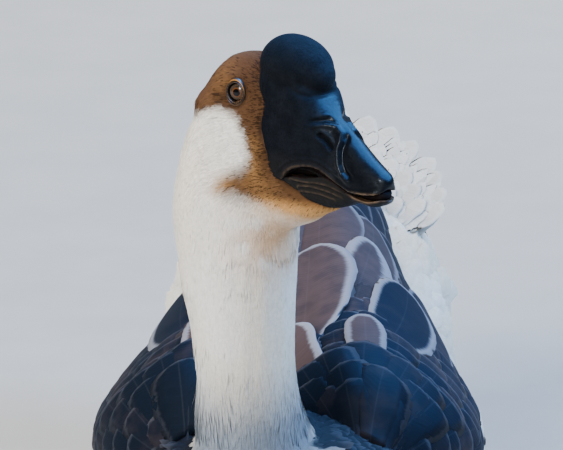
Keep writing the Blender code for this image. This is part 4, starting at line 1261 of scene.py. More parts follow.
@dataclass
class Wing:
    """A folded wing: the outer face over (y, v), and its feathers in rows from the shoulder back.

    v runs from 0 at the spine to 1 at the lower edge. Each station of the table gives y and the places x, z
    of the inner edge, crest, outermost line and lower edge. The face is smooth through them both ways.
    """

    table: tuple = (
        (-112, 38, 126, 47, 134, 63, 114, 57, 98), (-96, 24, 138, 46, 155, 82, 116, 77, 88),
        (-62, 2, 149, 45, 167, 99, 112, 95, 78), (0, 1, 156, 42, 168, 106.5, 104, 103, 72),
        (60, 1, 163, 36, 170, 94, 106, 91, 80), (120, 1, 169, 28, 174, 73, 118, 71, 98),
        (180, 1, 173, 20, 176, 52, 138, 51, 123), (230, 1, 177, 14, 180, 40, 156, 38, 147),
        (262, 1, 181, 10, 183, 28, 170, 27, 164),
    )
    poles: tuple = ((48, -118, 114), (13, 280, 177))
    lines: tuple = (0, 0.34, 0.78, 1)
    reach: tuple = (-111, 276)  # of y, past which the face runs on straight
    cover: tuple = (-110, 262)  # of y, between which the wing hides the body
    span: tuple = (-111.5, 262)  # of y, along the core
    depth: float = 26.0  # of the curve that closes it
    step: float = 0.004  # of v, for slopes
    spots: tuple = (0.05, 0.3, 0.55, 0.8, 1.0)
    # tips of a row as y at the spots of v, then length, width, rise for each millimetre and tone
    coverts: tuple = (
        ((-108, -111, -108, -105, -102), 24, 32, 0.10, 1.00),
        ((-98, -101, -97, -90, -82), 28, 33, 0.10, 0.95),
        ((-87, -91, -86, -76, -64), 30, 34, 0.095, 1.00),
        ((-76, -80, -75, -62, -47), 33, 34, 0.09, 0.95),
        ((-66, -61, -60, -47, -31), 36, 35, 0.085, 0.90),
        ((-50, -54, -48, -31, -14), 38, 35, 0.08, 0.85),
        ((-36, -38, -31, -14, 5), 40, 35, 0.075, 0.85),
        ((-20, -20, -13, 5, 24), 44, 35, 0.07, 0.80),
        ((-2, 0, 9, 26, 45), 50, 35, 0.06, 0.80),
        ((18, 22, 34, 50, 70), 54, 35, 0.055, 0.80),
    )
    quills: tuple = (
        ((44, 50, 64, 82, 100), 80, 32, 0.04, 0.65),
        ((84, 90, 100, 114, 128), 90, 33, 0.036, 0.70),
        ((140, 146, 150, 150, 146), 120, 36, 0.03, 0.80),
        ((185, 188, 190, 184, 172), 130, 36, 0.027, 0.85),
        ((226, 228, 226, 214, 200), 140, 32, 0.022, 0.95),
        ((258, 260, 254, 238, 222), 150, 28, 0.02, 1.0),
    )
    # root y, v, tip y, v, width, tone, rim, margin and height of the long shoulder feathers over the wing
    shoulder: tuple = (
        (-10, 0.10, 182, 0.16, 46, 0.30, 0.5, 3.6, 5.4), (-10, 0.28, 176, 0.50, 40, 0.45, 0.5, 4.0, 5.0),
        (-30, 0.24, 124, 0.42, 31, 0.35, 0.9, 6.4, 6.2), (-70, 0.40, 81, 0.51, 46, 0.95, 0.8, 4.6, 7.4),
        (-40, 0.54, 128, 0.66, 34, 0.85, 0.5, 3.4, 5.2), (-84, 0.06, 94, 0.105, 50, 0.28, 0.85, 4.4, 9.4),
        (-92, 0.36, -30, 0.325, 19.5, 0.12, 0.8, 3.2, 8.4), (-108, 0.07, -16, 0.03, 37, 0.0, 1.1, 4.4, 10.0),
    )
    # how far each row of coverts stands up, so that the middle rows lap over the shoulder feathers' roots
    lift: tuple = (0, 0.6, 1.6, 2.6, 3.2, 0, 0, 0, 0, 0)
    # rows of the white flank feathers from the lowest: v of the tips, and how deep the roots sit
    flank: tuple = ((1.16, 8.0), (1.10, 4.0), (1.04, 1.5), (0.98, 0.5), (0.92, 0.0), (0.86, 0.0), (0.80, 0.0))

    def inner(self, y: Array, v: Array) -> Array:
        """The face within its table's lines."""
        table = np.array(self.table, float)
        rows = smooth(table[:, 0], table[:, 1:], y)
        share = smooth(self.lines, np.eye(4), v)
        return np.stack([(rows[..., 0::2] * share).sum(-1), y, (rows[..., 1::2] * share).sum(-1)], axis=-1)

    def at(self, y: Array, v: Array) -> Array:
        """Points of the left wing's face, carried on straight past its edges."""
        y, v = np.broadcast_arrays(np.asarray(y, float), np.asarray(v, float))
        y_in, v_in = np.clip(y, *self.reach), np.clip(v, 0, 1)
        d = self.step
        slope = self.inner(y_in, np.clip(v_in + d, 0, 1)) - self.inner(y_in, np.clip(v_in - d, 0, 1))
        out = self.inner(y_in, v_in) + slope / d * (v - v_in)[..., None]
        out[..., 1] += y - y_in
        out[..., 2] += 0.55 * np.minimum(y - y_in, 0)
        out[..., 0] = np.maximum(out[..., 0], 0.4)
        return out

    def normal(self, y: Array, v: Array) -> Array:
        """Outward unit normals of the face."""
        d = self.step
        along = self.at(y + 1.0, v) - self.at(y - 1.0, v)
        across = self.at(y, v + d) - self.at(y, v - d)
        n = unit(np.cross(across, along))
        return np.where((n[..., 2] < 0)[..., None] & (v < 0.5)[..., None], -n, n)

    def core(self, inset: float) -> Surface:
        """The wing under its feathers: the face let in by the inset, and closed by a curve in the torso."""
        across = np.linspace(0, 1, 24)
        at = np.meshgrid(np.linspace(*self.span, 60), across, indexing="ij")
        face = self.at(*at)
        outer = face - self.normal(*at) * inset
        back = np.linspace(1, 0, 9)[1:-1][None, :, None]
        chord = face[:, -1:] * back + face[:, :1] * (1 - back)
        bulge = np.sin(back * np.pi) * np.array([0.35, 0, -1.0]) * self.depth
        widest = np.abs(across - self.lines[2]).argmin()
        size = np.clip((face[:, widest, 2] - face[:, -1, 2]) / 40, 0.1, 1)[:, None, None]
        rings = np.concatenate([outer, chord + bulge * size], axis=1)
        return loft(rings, *np.array(self.poles, float))

    def covers(self, points: Array, margin: float) -> Array:
        """True where the wings hide places of the outline, a margin inside their edges."""
        table = np.array(self.table, float)
        x, y, z = points.T
        inner_x, outer_x, low = (np.interp(y, table[:, 0], table[:, k]) for k in (1, 5, 8))
        outer_x = outer_x + 40 * ease(140, 100, y) - 0.5 * margin
        first, last = self.cover
        out = (y > first + margin) & (y < last - 2 * margin) & (z > low + margin)
        return out & (np.abs(x) > inner_x + 0.4 * margin - 3) & (np.abs(x) < outer_x)

    def row(self, spec: tuple, rng: np.random.Generator, lift: float = 0.0, **make: float) -> Vanes:
        """One row of overlapping feathers side by side."""
        tips, length, width, rise, tone = spec
        v = np.linspace(0, 1, 200)
        line = self.at(smooth(self.spots, tips, v).ravel(), v)
        walked = np.concatenate([[0], np.cumsum(np.linalg.norm(np.diff(line, axis=0), axis=1))])
        count = max(3, round(walked[-1] / (0.56 * width)))
        place = (np.arange(count) + 0.5 + 0.16 * jitter(rng, count, 1.5)) / count
        v = np.interp(place * walked[-1], walked, v)
        y = smooth(self.spots, tips, v).ravel() + rng.normal(0, 0.05 * width, count)
        length = np.minimum(length * (1 + 0.05 * jitter(rng, count)), y + 128)
        drift = 0.0011 * bell(v - 0.4, 0.35) * ease(40, 80, length)
        width = width * (1 + 0.05 * jitter(rng, count))
        low = lift * ease(0.82, 0.60, v) - 1.3
        return Vanes(
            self, np.stack([y - length, v - drift * length], 1), np.stack([y, v], 1), width,
            np.stack([low, low + 0.5 + rise * length], 1), 0.4, tone + 0.12 * jitter(rng, count),
            0.11 + 0.17 * ease(-70, 30, y), 2.6 + 0.012 * length.mean(), **make,
        )

    def feathers(self, side: str, coverts: Finish, quills: Finish, white: Finish) -> list[bpy.types.Object]:
        """The wing's pieces: coverts, quills, long shoulder feathers and white ones over its lower edge."""
        sign = SIDES[side]
        rng = np.random.default_rng(40 + sign)
        small = [self.row(spec, rng, lift, tip_from=0.78) for spec, lift in zip(self.coverts, self.lift)]
        large = [self.row(spec, rng, along=14, across=7, thickness=0.5, camber=0.04) for spec in self.quills]
        table = np.array(self.shoulder, float)
        width, tone, rim, margin, high = table[:, 4:].T
        sunk = np.where(table[:, 2] > 170, 1.2, 3.0)  # the roots of the two longest stay near the face
        shoulder = Vanes(
            self, table[:, :2], table[:, 2:4], width, np.stack([high * 0.1 - sunk, high], 1), 0.35, tone, rim,
            margin, along=30, across=15, camber=0.05, thickness=0.6, tip_from=0.70, ragged=0.012,
            root_width=0.26, soft=0.5,
        )
        return [
            Vanes.joined(small).build(f"wing_coverts_{side}", coverts, 50 + sign, sign),
            Vanes.joined(large).build(f"wing_quills_{side}", quills, 60 + sign, sign),
            shoulder.build(f"shoulder_feathers_{side}", coverts, 70 + sign, sign),
            self.pocket(rng).build(f"flank_feathers_{side}", white, 80 + sign, sign),
        ]

    def pocket(self, rng: np.random.Generator) -> Vanes:
        """White flank feathers that lap up over the wing's lower edge."""
        groups = []
        for k, (v, sunk) in enumerate(self.flank):
            count = 52 - 6 * k
            y = np.linspace(-100 + 6 * k + 3 * k**2, 178 - 16 * k, count) + rng.normal(0, 2.0, count)
            top = v - 0.035 * (k - 1) * bell(y + 20, 70) / 2 + 0.05 * ease(60, 170, y)
            tip = np.stack([y, top + rng.normal(0, 0.010, count)], 1)
            length = 40 * (1 + 0.08 * jitter(rng, count))
            low = 2.8 + 0.4 * (6 - k)
            flush = 4.0 * ease(45, 5, y - y.min()) * (k > 2)  # a row's front feathers lie closer
            height = np.stack([low - 1.6 - sunk - flush, low + 0.9 - 0.4 * flush], 1)
            groups.append(Vanes(
                self, np.stack([y - length, tip[:, 1] + 0.10], 1), tip, 19.0, height, 0.2,
                rng.normal(0.7, 0.2, count), 0.2, 2.6, along=7, ragged=0.03, thickness=0.45, tip_from=0.5,
                soft=0.9,
            ))
        return Vanes.joined(groups)


@dataclass
class Tail:
    """The roof-shaped fan over (x, y): its height rises with the way out from the root, less at the sides."""

    root: tuple = (0.0, 232.0, 136.0)
    slope: tuple = (0.50, 0.28)
    spread: float = math.radians(78)
    core_at: tuple = (0, 243, 131)
    core_radii: tuple = (71, 37, 27)
    step: float = 0.5
    ring: float = 6.5  # from one ring of coverts to the next
    # count, share of the spread, run on the midline, run at the sides, width, low and high
    tiers: tuple = (
        (9, 0.80, (34, 80), (50, 76), 30, (-20, -7.5)), (12, 0.94, (34, 94), (46, 79), 28, (-13, -4)),
        (16, 1.0, (30, 112), (40, 80), 30, (-4, 0.5)), (13, 0.90, (26, 86), (32, 70), 28, (-2.5, 2.0)),
        (11, 0.80, (22, 66), (28, 58), 26, (-1.5, 3.6)), (9, 0.66, (16, 48), (20, 44), 25, (0, 5.4)),
    )

    def at(self, x: Array, y: Array) -> Array:
        """Points of the fan."""
        x, y = np.broadcast_arrays(np.asarray(x, float), np.asarray(y, float))
        out = np.hypot(x, y - self.root[1])
        angle = np.arctan2(x, y - self.root[1]) / self.spread
        slope = self.slope[0] + (self.slope[1] - self.slope[0]) * np.clip(angle**2, 0, 1.3)
        return np.stack([x, y, self.root[2] + out * slope], axis=-1)

    def normal(self, x: Array, y: Array) -> Array:
        """Upward unit normals, the same all over the fan."""
        return np.broadcast_to(np.array([0, -math.sin(0.35), math.cos(0.35)]), np.shape(x) + (3,))

    def core(self) -> Surface:
        """The rump under the fan."""
        angle = math.atan(self.slope[0])
        c, s = math.cos(angle), math.sin(angle)
        turn = np.array([[1, 0, 0], [0, c, -s], [0, s, c]])
        return ellipsoid(self.core_at, np.array(self.core_radii) - 1.5, turn)

    def feathers(self, finish: Finish) -> bpy.types.Object:
        """All tiers as one piece."""
        rng = np.random.default_rng(90)
        groups = []
        for count, spread, middle, edge, width, height in self.tiers:
            share = np.linspace(-1, 1, count)
            angle = share * spread * self.spread + rng.normal(0, 0.012, count)
            part = np.abs(share)[:, None]
            run = (1 - part) * np.array(middle, float) + part * np.array(edge, float)
            root, tip = (self.ray(angle, run[:, k]) for k in (0, 1))
            groups.append(Vanes(
                self, root, tip, width, np.array(height) - 1.6 * part, -0.35 * np.sign(share),
                rng.normal(0.5, 0.2, count), 0.35, 3.0, along=12, across=7, thickness=0.5, ragged=0.03,
                tip_from=0.40, soft=0.5,
            ))
        return Vanes.joined(groups).build("tail_feathers", finish, 91)

    def ray(self, angle: Array, run: Array) -> Array:
        """Places of the fan that far out from its root, at angles to its middle."""
        return np.array([0, self.root[1]]) + np.stack([np.sin(angle), np.cos(angle)], 1) * run[:, None]

    def down(self, finish: Finish) -> bpy.types.Object:
        """Small soft coverts in rings over the fan, each ring over the next one out."""
        rng = np.random.default_rng(95)
        groups = []
        for out in np.arange(26, 100, self.ring):
            count = int(2 * self.spread * out / self.ring)
            angle = np.linspace(-1, 1, count) * self.spread * 1.04 + rng.normal(0, 0.03, count)
            aside = (angle / self.spread) ** 2
            reach = out * (1 - 0.22 * aside) + rng.normal(0, 2.0, count)
            length = 22 * (1 + 0.15 * jitter(rng, count))
            low = 6.0 - 0.045 * out - 2.2 * aside
            root, tip = self.ray(angle, reach - length), self.ray(angle, reach)
            width = rng.normal(12, 1.5, count)
            height = np.stack([low - 2.2, low - 0.9 + rng.normal(0, 0.15, count)], 1)
            tilt, tone = rng.normal(0, 0.1, count), rng.normal(0.7, 0.2, count)
            groups.append(Vanes(
                self, root, tip, width, height, tilt, tone, 0.1, 2.5, along=7, thickness=0.25, ragged=0.03,
                tip_from=0.45, camber=0.03, soft=1.0,
            ))
        return Vanes.joined(groups).build("tail_coverts", finish, 96)


# ---------------------------------------------------------------- eyes and bill


@dataclass
class Eye:
    """One eye with its lids, in its own frame: x forward, y outwards along its axis, z up."""

    side: int
    at: tuple = (-1.5, 14.8, 0.2)
    radius: float = 6.9
    turn: float = math.radians(14)
    # reach and rise of the lid's section, from the opening out over the rim and back underneath
    section: tuple = (
        (4.85, 2.4), (4.88, 4.0), (4.95, 4.8), (5.15, 5.35), (5.45, 5.6), (5.75, 5.45), (5.95, 5.0),
        (6.15, 5.05), (6.5, 5.5), (6.85, 5.6), (7.15, 5.25), (7.4, 4.4), (7.3, 3.2), (6.2, 2.2),
    )
    oval: tuple = (0.93, 1.02)
    narrow: float = 0.12  # less width in front and behind at the lids' outer edge
    bulge: float = 0.885  # height of the ball as a share of its width
    gaze: tuple = (1.25, 0.3)  # the pupil's place off the ball's axis, forward and up
    slant: float = 0.08

    def to_goose(self, points: Array) -> Array:
        """Points of the eye's frame, in the goose's."""
        c, s = math.cos(self.turn), math.sin(self.turn)
        x = points[..., 0] * c + points[..., 1] * s
        y = (points[..., 1] * c - points[..., 0] * s) * self.side
        return HEAD.to_goose(np.stack([x, y, points[..., 2]], -1) + np.array(self.at) * (1, self.side, 1))

    def from_goose(self, points: Array) -> Array:
        """Points of the goose's frame, in the eye's."""
        q = HEAD.from_goose(points) - np.array(self.at) * (1, self.side, 1)
        c, s = math.cos(self.turn), math.sin(self.turn)
        x, y = q[..., 0], q[..., 1] * self.side
        return np.stack([x * c - y * s, y * c + x * s, q[..., 2]], -1)

    def ball(self, name: str, finish: Finish) -> bpy.types.Object:
        """The eyeball: rings about its axis, slightly fuller over the iris."""
        away = np.linspace(0.02, np.pi - 0.02, 60)
        turn = np.arange(72) * 2 * np.pi / 72
        radius = self.radius + 0.35 * bell(away, 0.5)
        ring, height = (np.sin(away) * radius)[:, None], np.cos(away) * radius * self.bulge
        x, z = ring * np.cos(turn), ring * np.sin(turn)
        rings = np.stack([x, np.broadcast_to(height[:, None], x.shape), z], -1)
        poles = np.array([[0, height[0], 0], [0, height[-1], 0]])
        surface = loft(self.to_goose(rings), *self.to_goose(poles))
        off = np.hypot(x - self.gaze[0], z - self.gaze[1]) + 8 * (away > 1.6)[:, None]
        marks = {
            "reach": np.concatenate([off.ravel(), [np.hypot(*self.gaze), 9]]),
            "turn": np.concatenate([np.tile(turn, len(away)), [0, 0]]),
        }
        return mesh_piece(name, surface, finish, marks)

    def lids(self, name: str, finish: Finish) -> bpy.types.Object:
        """The lids' swollen ring: its section carried round a slightly pointed oval, with fine folds."""
        last = len(self.section) - 1
        out, high = smooth(np.arange(last + 1), self.section, np.linspace(0, last, 44)).T
        turn = (np.arange(120) * 2 * np.pi / 120)[:, None]
        reach = out * (1 + 0.05 * np.abs(np.cos(turn)) ** 8)
        rise = high + 0.35 * np.clip(np.sin(turn), 0, 1) * bell(out - 5.6, 0.8)
        folds = np.sin(out * 9 + 0.8 * np.sin(turn * 3)) * (out > 5.9)
        beads = np.sin(turn * 46) * bell(out - 5.4, 0.4)
        rise = rise + 0.10 * folds * (high > 4.4) + 0.05 * beads
        x = np.cos(turn) * reach * (self.oval[0] - self.narrow * ease(5, 7.4, out))
        z = np.sin(turn) * reach * self.oval[1]
        points = np.stack([x, rise - self.slant * z, z], -1)
        count, around = points.shape[:2]
        i, k = np.meshgrid(np.arange(count), np.arange(around), indexing="ij")
        j, m = (i + 1) % count, (k + 1) % around
        quads = np.stack([i * around + k, i * around + m, j * around + m, j * around + k], -1).reshape(-1, 4)
        surface = outward(Surface(self.to_goose(points).reshape(-1, 3), [quads]))
        rim = bell(out - 6.75, 0.3) * (0.12 + 0.88 * ease(0.2, 0.8, np.sin(turn + 0.35)))
        rim = rim + 0.35 * bell(out - 5.4, 0.2) * (0.5 + 0.5 * np.sin(turn * 23)) ** 2
        return mesh_piece(name, surface, finish, {"rim": rim.ravel()})


@dataclass
class Bill:
    """The bill with its knob: halves as lofts, fused with the knob and nail, then folded and grooved."""

    # x, half width, culmen, edge and squareness of the upper half
    upper: tuple = (
        (21, 18.6, 17, -41.5, 3.4), (28, 18.2, 17.2, -41.0, 3.6), (34, 17.9, 16.5, -37.5, 4.2),
        (40, 17.5, 14.8, -34.2, 4.8), (45, 16.6, 12.8, -33.0, 4.6), (51, 15.0, 4.8, -33.0, 3.2),
        (58, 13.6, -2.6, -34.5, 2.5), (66, 12.6, -7.6, -38.0, 2.2), (75, 11.7, -13.8, -40.0, 2.1),
        (84, 10.7, -19.8, -39.6, 2.05), (92, 8.9, -24.2, -38.8, 2.1), (96.4, 7.0, -26.6, -38.0, 2.2),
        (99.4, 4.6, -28.8, -36.8, 2.3),
    )
    upper_tip: tuple = (101.2, 0, -32.6)
    knob_at: tuple = (30.4, 0, 16.7)
    knob_radii: tuple = (19.8, 16.8, 17.0)
    brow_at: tuple = (37.6, 0, 15.0)  # the knob's fuller front, which hangs over the bill
    brow_radii: tuple = (15.0, 12.5, 12.0)
    filler_at: tuple = (26.0, 0, 5.0)  # joins the knob's back and sides to the bill
    filler_radii: tuple = (14.5, 17.6, 23.0)
    nail_at: tuple = (94.2, 0, -30.4)
    nail_radii: tuple = (7.2, 6.0, 4.4)
    nail_tilt: float = math.radians(24)
    # x, half width, top and bottom of the lower half
    lower: tuple = (
        (18, 17.8, -39.4, -43.0), (26, 17.2, -39.6, -44.5), (34, 16.4, -38.8, -48.2),
        (40, 15.7, -37.7, -50.8), (47, 14.8, -37.4, -52.9), (55, 13.6, -35.8, -54.0),
        (61, 12.7, -34.4, -53.6), (66, 12.0, -35.2, -52.4), (72, 11.2, -37.4, -49.8),
        (79, 10.5, -40.0, -46.6), (87, 9.6, -41.6, -45.4), (95, 7.8, -41.2, -45.4), (98.3, 5.0, -40.2, -43.8),
    )
    lower_tip: tuple = (100.8, 0, -41.2)
    # lines of the side, x and z
    lip: tuple = (
        (26, -42.6), (31, -39.9), (37.8, -35.1), (42.7, -32.7), (48.7, -31.0), (54, -30.4), (59.1, -31.0),
        (64.9, -33.5), (71.7, -36.1), (79.7, -38.9), (88.3, -38.7), (94, -38.0),
    )
    ridge: tuple = (
        (50, -10), (54, -8.4), (58.5, -7.4), (63.9, -7.9), (67.6, -10.6), (68.9, -14.6), (69, -18.5),
        (70, -22.6), (71.3, -26.2), (74, -30.6), (78, -33.2), (82, -34.6),
    )
    nostril: tuple = ((57.5, -12.8), (61.2, -14.8), (65.2, -18.0))
    crease: tuple = ((29, 18.5), (31.2, 15.6), (36.5, 11.5), (42, 8.5), (48, 6.4), (53, 6.5))
    # lines of the lower half's folds, each with its depth
    lower_folds: tuple = (
        (((36, -40.5), (41, -40.9), (50, -40.7), (59, -39.7), (66, -39.9), (71, -41), (78, -42.6)), 0.95),
        (((42, -43.8), (53.5, -42.6), (65, -43.1), (73, -44.4)), 0.8),
        (((40, -47.0), (48, -46.2), (58, -45.8), (67, -46.8)), 0.6),
    )
    voxel: float = 0.5
    # where the feathers end: reach forward by height, and the height of the chin by x
    base: ClassVar[tuple] = (
        (-60, 36.0), (-50, 34.0), (-43, 30.2), (-40, 28.0), (-35.5, 25.0), (-27, 22.2), (-20, 18.8),
        (-12.8, 17.3), (-5.2, 19.0), (4, 17.6), (15, 16.6), (24, 16.0),
    )
    chin: ClassVar[tuple] = (
        (20, -43.6), (29, -45.2), (35, -49.4), (47, -53.6), (58, -54.6), (66, -53.6), (80, -48), (140, -46),
    )

    @classmethod
    def over_face(cls, q: Array) -> Array:
        """How far places of the head's frame lie within the bill's skin, in millimetres."""
        x, _y, z = q.T
        return np.minimum(x - column(cls.base, 1, z), z - np.interp(x, *zip(*cls.chin)))

    @classmethod
    def rooted(cls, q: Array) -> Array:
        """Moves the back of the bill to the line where the feathers end."""
        shift = (column(cls.base, 1, q[:, 2]) - 22.4) * ease(52, 25, q[:, 0])
        return q + shift[:, None] * [1, 0, 0]

    def half(self, rows: tuple, tip: tuple, is_upper: bool) -> Surface:
        """One half as upright sections, each a half superellipse closed by the mouth's bowed flat side."""
        table = np.array(rows, float)
        x = smooth(np.arange(len(table)), table[:, 0], np.linspace(0, len(table) - 1, 60)).ravel()
        half, *read = smooth(table[:, 0], table[:, 1:], x).T[..., None]
        crown, edge = read[:2] if is_upper else read[1::-1]
        power = 2 / (read[2] if is_upper else np.full_like(half, 2.8))
        turn = np.linspace(0, np.pi, 50)
        c, s = np.cos(turn), np.sin(turn)
        y = np.sign(c) * np.abs(c) ** power * half
        z = edge + (crown - edge) * np.abs(s) ** power
        flat = np.linspace(-1, 1, 18)[1:-1]
        roof = edge + (1.5 if is_upper else -1.0) * (1 - flat**2)
        y, z = np.hstack([y, flat * half]), np.hstack([z, roof])
        rings = np.stack([np.broadcast_to(x[:, None], y.shape), y, z], -1)
        return loft(rings, rings[0].mean(0), np.array(tip, float))

    @staticmethod
    def above(q: Array, line: tuple) -> tuple[Array, Array]:
        """Signed height over a line of the side, and the share along it."""
        return from_path(q[:, [0, 2]], line)

    def upper_half(self, finish: Finish) -> bpy.types.Object:
        """The upper half with the knob, nostrils, nail, lips and folds."""
        c, s = math.cos(self.nail_tilt), math.sin(self.nail_tilt)
        dipped = np.array([[c, 0, s], [0, 1, 0], [-s, 0, c]])
        shape = fused([
            self.half(self.upper, self.upper_tip, True), ellipsoid(self.knob_at, self.knob_radii),
            ellipsoid(self.brow_at, self.brow_radii), ellipsoid(self.nail_at, self.nail_radii, dipped),
            ellipsoid(self.filler_at, self.filler_radii),
        ], self.voxel).relaxed(6)
        q = shape.points
        under_knob = bell(np.abs(self.above(q, self.crease)[0]), 5) * ease(0, 6, np.abs(q[:, 1]))
        shape = shape.relaxed(30, np.clip(ease(34, 26, q[:, 0]) + 0.5 * under_knob, 0, 1))
        q, n = shape.points.copy(), shape.normals()
        x, y, z = q.T
        side = ease(0.15, 0.55, np.abs(n[:, 1]))
        on_side = np.abs(y) > 5
        front = ease(60, 74, x)
        outwards, inwards = [], []  # moves along the normals, and towards the middle plane

        crease, _share = self.above(q, self.crease)
        outwards.append(-(0.9 * bell(crease, 1.4) * ease(33, 43, x) * (z > 0) * (x < 55)))
        ridge, share = self.above(q, self.ridge)
        ends = ease(0, 0.12, share) * ease(1, 0.9, share)
        outwards.append((1.05 * bell(ridge, 1.4) - 1.5 * bell(ridge - 2.7, 1.3)) * side * ends)
        hole = np.abs(self.above(q, self.nostril)[0])
        outwards.append(0.35 * bell(hole - 2.6, 0.8) * on_side)
        inwards.append(3.4 * ease(1.7, 0.7, hole) * on_side)
        lip, share = self.above(q, self.lip)
        beyond = np.where(x >= 94, z - np.interp(x, [94, 103], [-38.0, -37.0]), 9)
        lip = np.where((x > 26) & (x < 94), lip, beyond)
        under = ease(0.3, -0.9, lip) * side * ease(26, 33, x) * ease(95, 88, x)
        grin = ease(0.02, 0.12, share) * ease(0.99, 0.8, share)
        inwards.append(under * (0.7 + 1.9 * grin))
        outwards.append((0.55 * bell(lip - 0.9, 0.9)) * side)
        folds = -0.5 * bell(lip - 3.0, 0.6) + 0.25 * bell(lip - 4.2, 0.8) - 0.4 * bell(lip - 5.9, 0.7)
        outwards.append(folds * side * ease(0.0, 0.1, share) * ease(0.92, 0.55, share) * ease(80, 70, x))
        lumps = 0.5 * noise(q, 9, 61) + 0.2 * noise(q, 4.2, 62)
        culmen = ease(0.35, 0.75, n[:, 2]) * ease(38, 46, x)
        outwards.append(lumps * (0.16 + 0.5 * culmen) * (1 - 0.7 * front))
        wrinkles = -np.abs(noise(q * [0.6, 1, 1.4], 2.4, 63))
        wrinkles = wrinkles - 0.6 * np.abs(noise(q * [0.7, 1, 1.2], 1.3, 64))
        rough = 0.10 + 0.22 * bell(np.hypot(x - 36, z - 6), 9) + 0.16 * ease(-14, -26, z)
        outwards.append((wrinkles + 0.35) * rough * (1 - 0.85 * front))

        move = n * sum(outwards)[:, None]
        move[:, 1] -= np.sign(y) * sum(inwards)
        bent = Surface(q + move * ease(22.5, 25.5, x)[:, None], shape.faces)
        q = self.rooted(bent.relaxed(12, ease(95, 99, x)).points)
        gloss = np.clip(front + culmen * ease(12, 4, z) + 0.6 * ease(48, 60, x) * ease(-22, -8, z), 0, 1)
        rim = 0.85 * ease(74, 88, x) * bell(lip - 0.1, 0.7) + 0.22 * bell(lip - 0.6, 0.7) * ease(80, 60, x)
        rim = np.clip(rim, 0, 1) * (0.4 + 0.6 * ease(-0.5, 0.4, noise(q, 1.6, 66)))
        marks = {
            "gloss": gloss, "rim": rim, "inside": np.clip(under * grin, 0, 1),
            # dark: painted shade in the nostril's hollow
            "dark": ease(1.7, 0.8, hole) * on_side, "grey": 0.6 * ease(-22, -34, z) * (1 - front),
        }
        return mesh_piece("bill_upper_skin", Surface(HEAD.to_goose(q), shape.faces), finish, marks)

    def lower_half(self, finish: Finish) -> bpy.types.Object:
        """The lower half with the folds along its edge."""
        shape = fused([self.half(self.lower, self.lower_tip, False)], self.voxel).relaxed(5)
        q, n = shape.points.copy(), shape.normals()
        x = q[:, 0]
        side = ease(0.15, 0.55, np.abs(n[:, 1]))
        move, pale = np.zeros(len(q)), 0
        for line, depth in self.lower_folds:
            fold, share = self.above(q, line)
            ends = ease(0, 0.12, share) * ease(1, 0.85, share)
            move += (depth * 0.6 * bell(fold - 1.3, 0.9) - depth * bell(fold, 0.7)) * side * ends
        wrinkles = -np.abs(noise(q * [0.6, 1, 1.4], 2.6, 73)) * 0.4 + 0.25 * noise(q, 6, 74)
        move += wrinkles * (1 - 0.7 * ease(66, 80, x))
        q = q + n * (move * ease(20, 27, x))[:, None]
        for line, _depth in self.lower_folds:
            pale = pale + 0.26 * bell(self.above(q, line)[0] - 1.2, 0.5) * ease(80, 66, x)
        down = q[:, 2] - column(self.lower, 2, x)  # below the half's edge
        rim = 0.85 * ease(74, 86, x) * bell(down + 0.4, 0.8) + pale
        marks = {
            "gloss": ease(74, 90, x), "rim": rim * (0.4 + 0.6 * ease(-0.5, 0.4, noise(q, 1.6, 76))),
            "inside": ease(-0.9, -0.1, down) * (n[:, 2] > 0.3), "dark": 0 * x,
            "grey": 1 - 0.7 * ease(70, 84, x),
        }
        surface = Surface(HEAD.to_goose(self.rooted(q)), shape.faces)
        return mesh_piece("bill_lower_skin", surface, finish, marks)

    def tongue(self, finish: Finish) -> bpy.types.Object:
        """The mouth's floor and tongue, which close the view between the halves."""
        x = np.linspace(27, 97.6, 54)
        low, high = column(self.lower, 2, x) - 1.2, column(self.upper, 3, x) + 1.6
        half = column(self.upper, 1, x) * 0.72 - 0.5
        c, s = superellipse(40, 2.6)
        z = ((low + high) / 2)[:, None] + ((high - low) / 2)[:, None] * s
        z = z + 0.25 * np.sin(x * 2.4)[:, None] * np.abs(c)
        rings = np.stack([np.broadcast_to(x[:, None], z.shape), half[:, None] * c, z], -1)
        surface = loft(*(HEAD.to_goose(part) for part in (rings, [26.5, 0, -39], [98.9, 0, -39.6])))
        return mesh_piece("tongue", surface, finish)

    def lamellae(self, finish: Finish) -> bpy.types.Object:
        """The comb along the upper half's edge: thin closed wedges in a row on each side."""
        x = np.arange(37, 84, 1.25)[:, None]
        lip = np.interp(x, *zip(*self.lip))
        low = np.minimum(column(self.upper, 3, x), lip - 1.2) - 0.7
        thick, deep, tall = np.array([
            (-1, 0, 0), (1, 0, 0), (1, 0, 1), (-1, 0, 1), (-0.4, 1, 0.1), (0.4, 1, 0.1), (0.5, 1, 0.95),
            (-0.5, 1, 0.95),
        ]).T
        quads = np.array([(0, 1, 2, 3), (4, 7, 6, 5), (0, 4, 5, 1), (1, 5, 6, 2), (2, 6, 7, 3), (3, 7, 4, 0)])
        across = column(self.upper, 1, x) - 3.6 + 1.7 * deep
        parts = []
        for side in SIDES.values():
            points = np.stack([x + 0.30 * thick, side * across, low + (lip + 0.2 - low) * tall], -1)
            points = HEAD.to_goose(points.reshape(-1, 3))
            parts.append(outward(Surface(points, repeated([quads], len(x), len(tall)))))
        return mesh_piece("lamellae", joined(parts), finish)


# ---------------------------------------------------------------- legs and feet


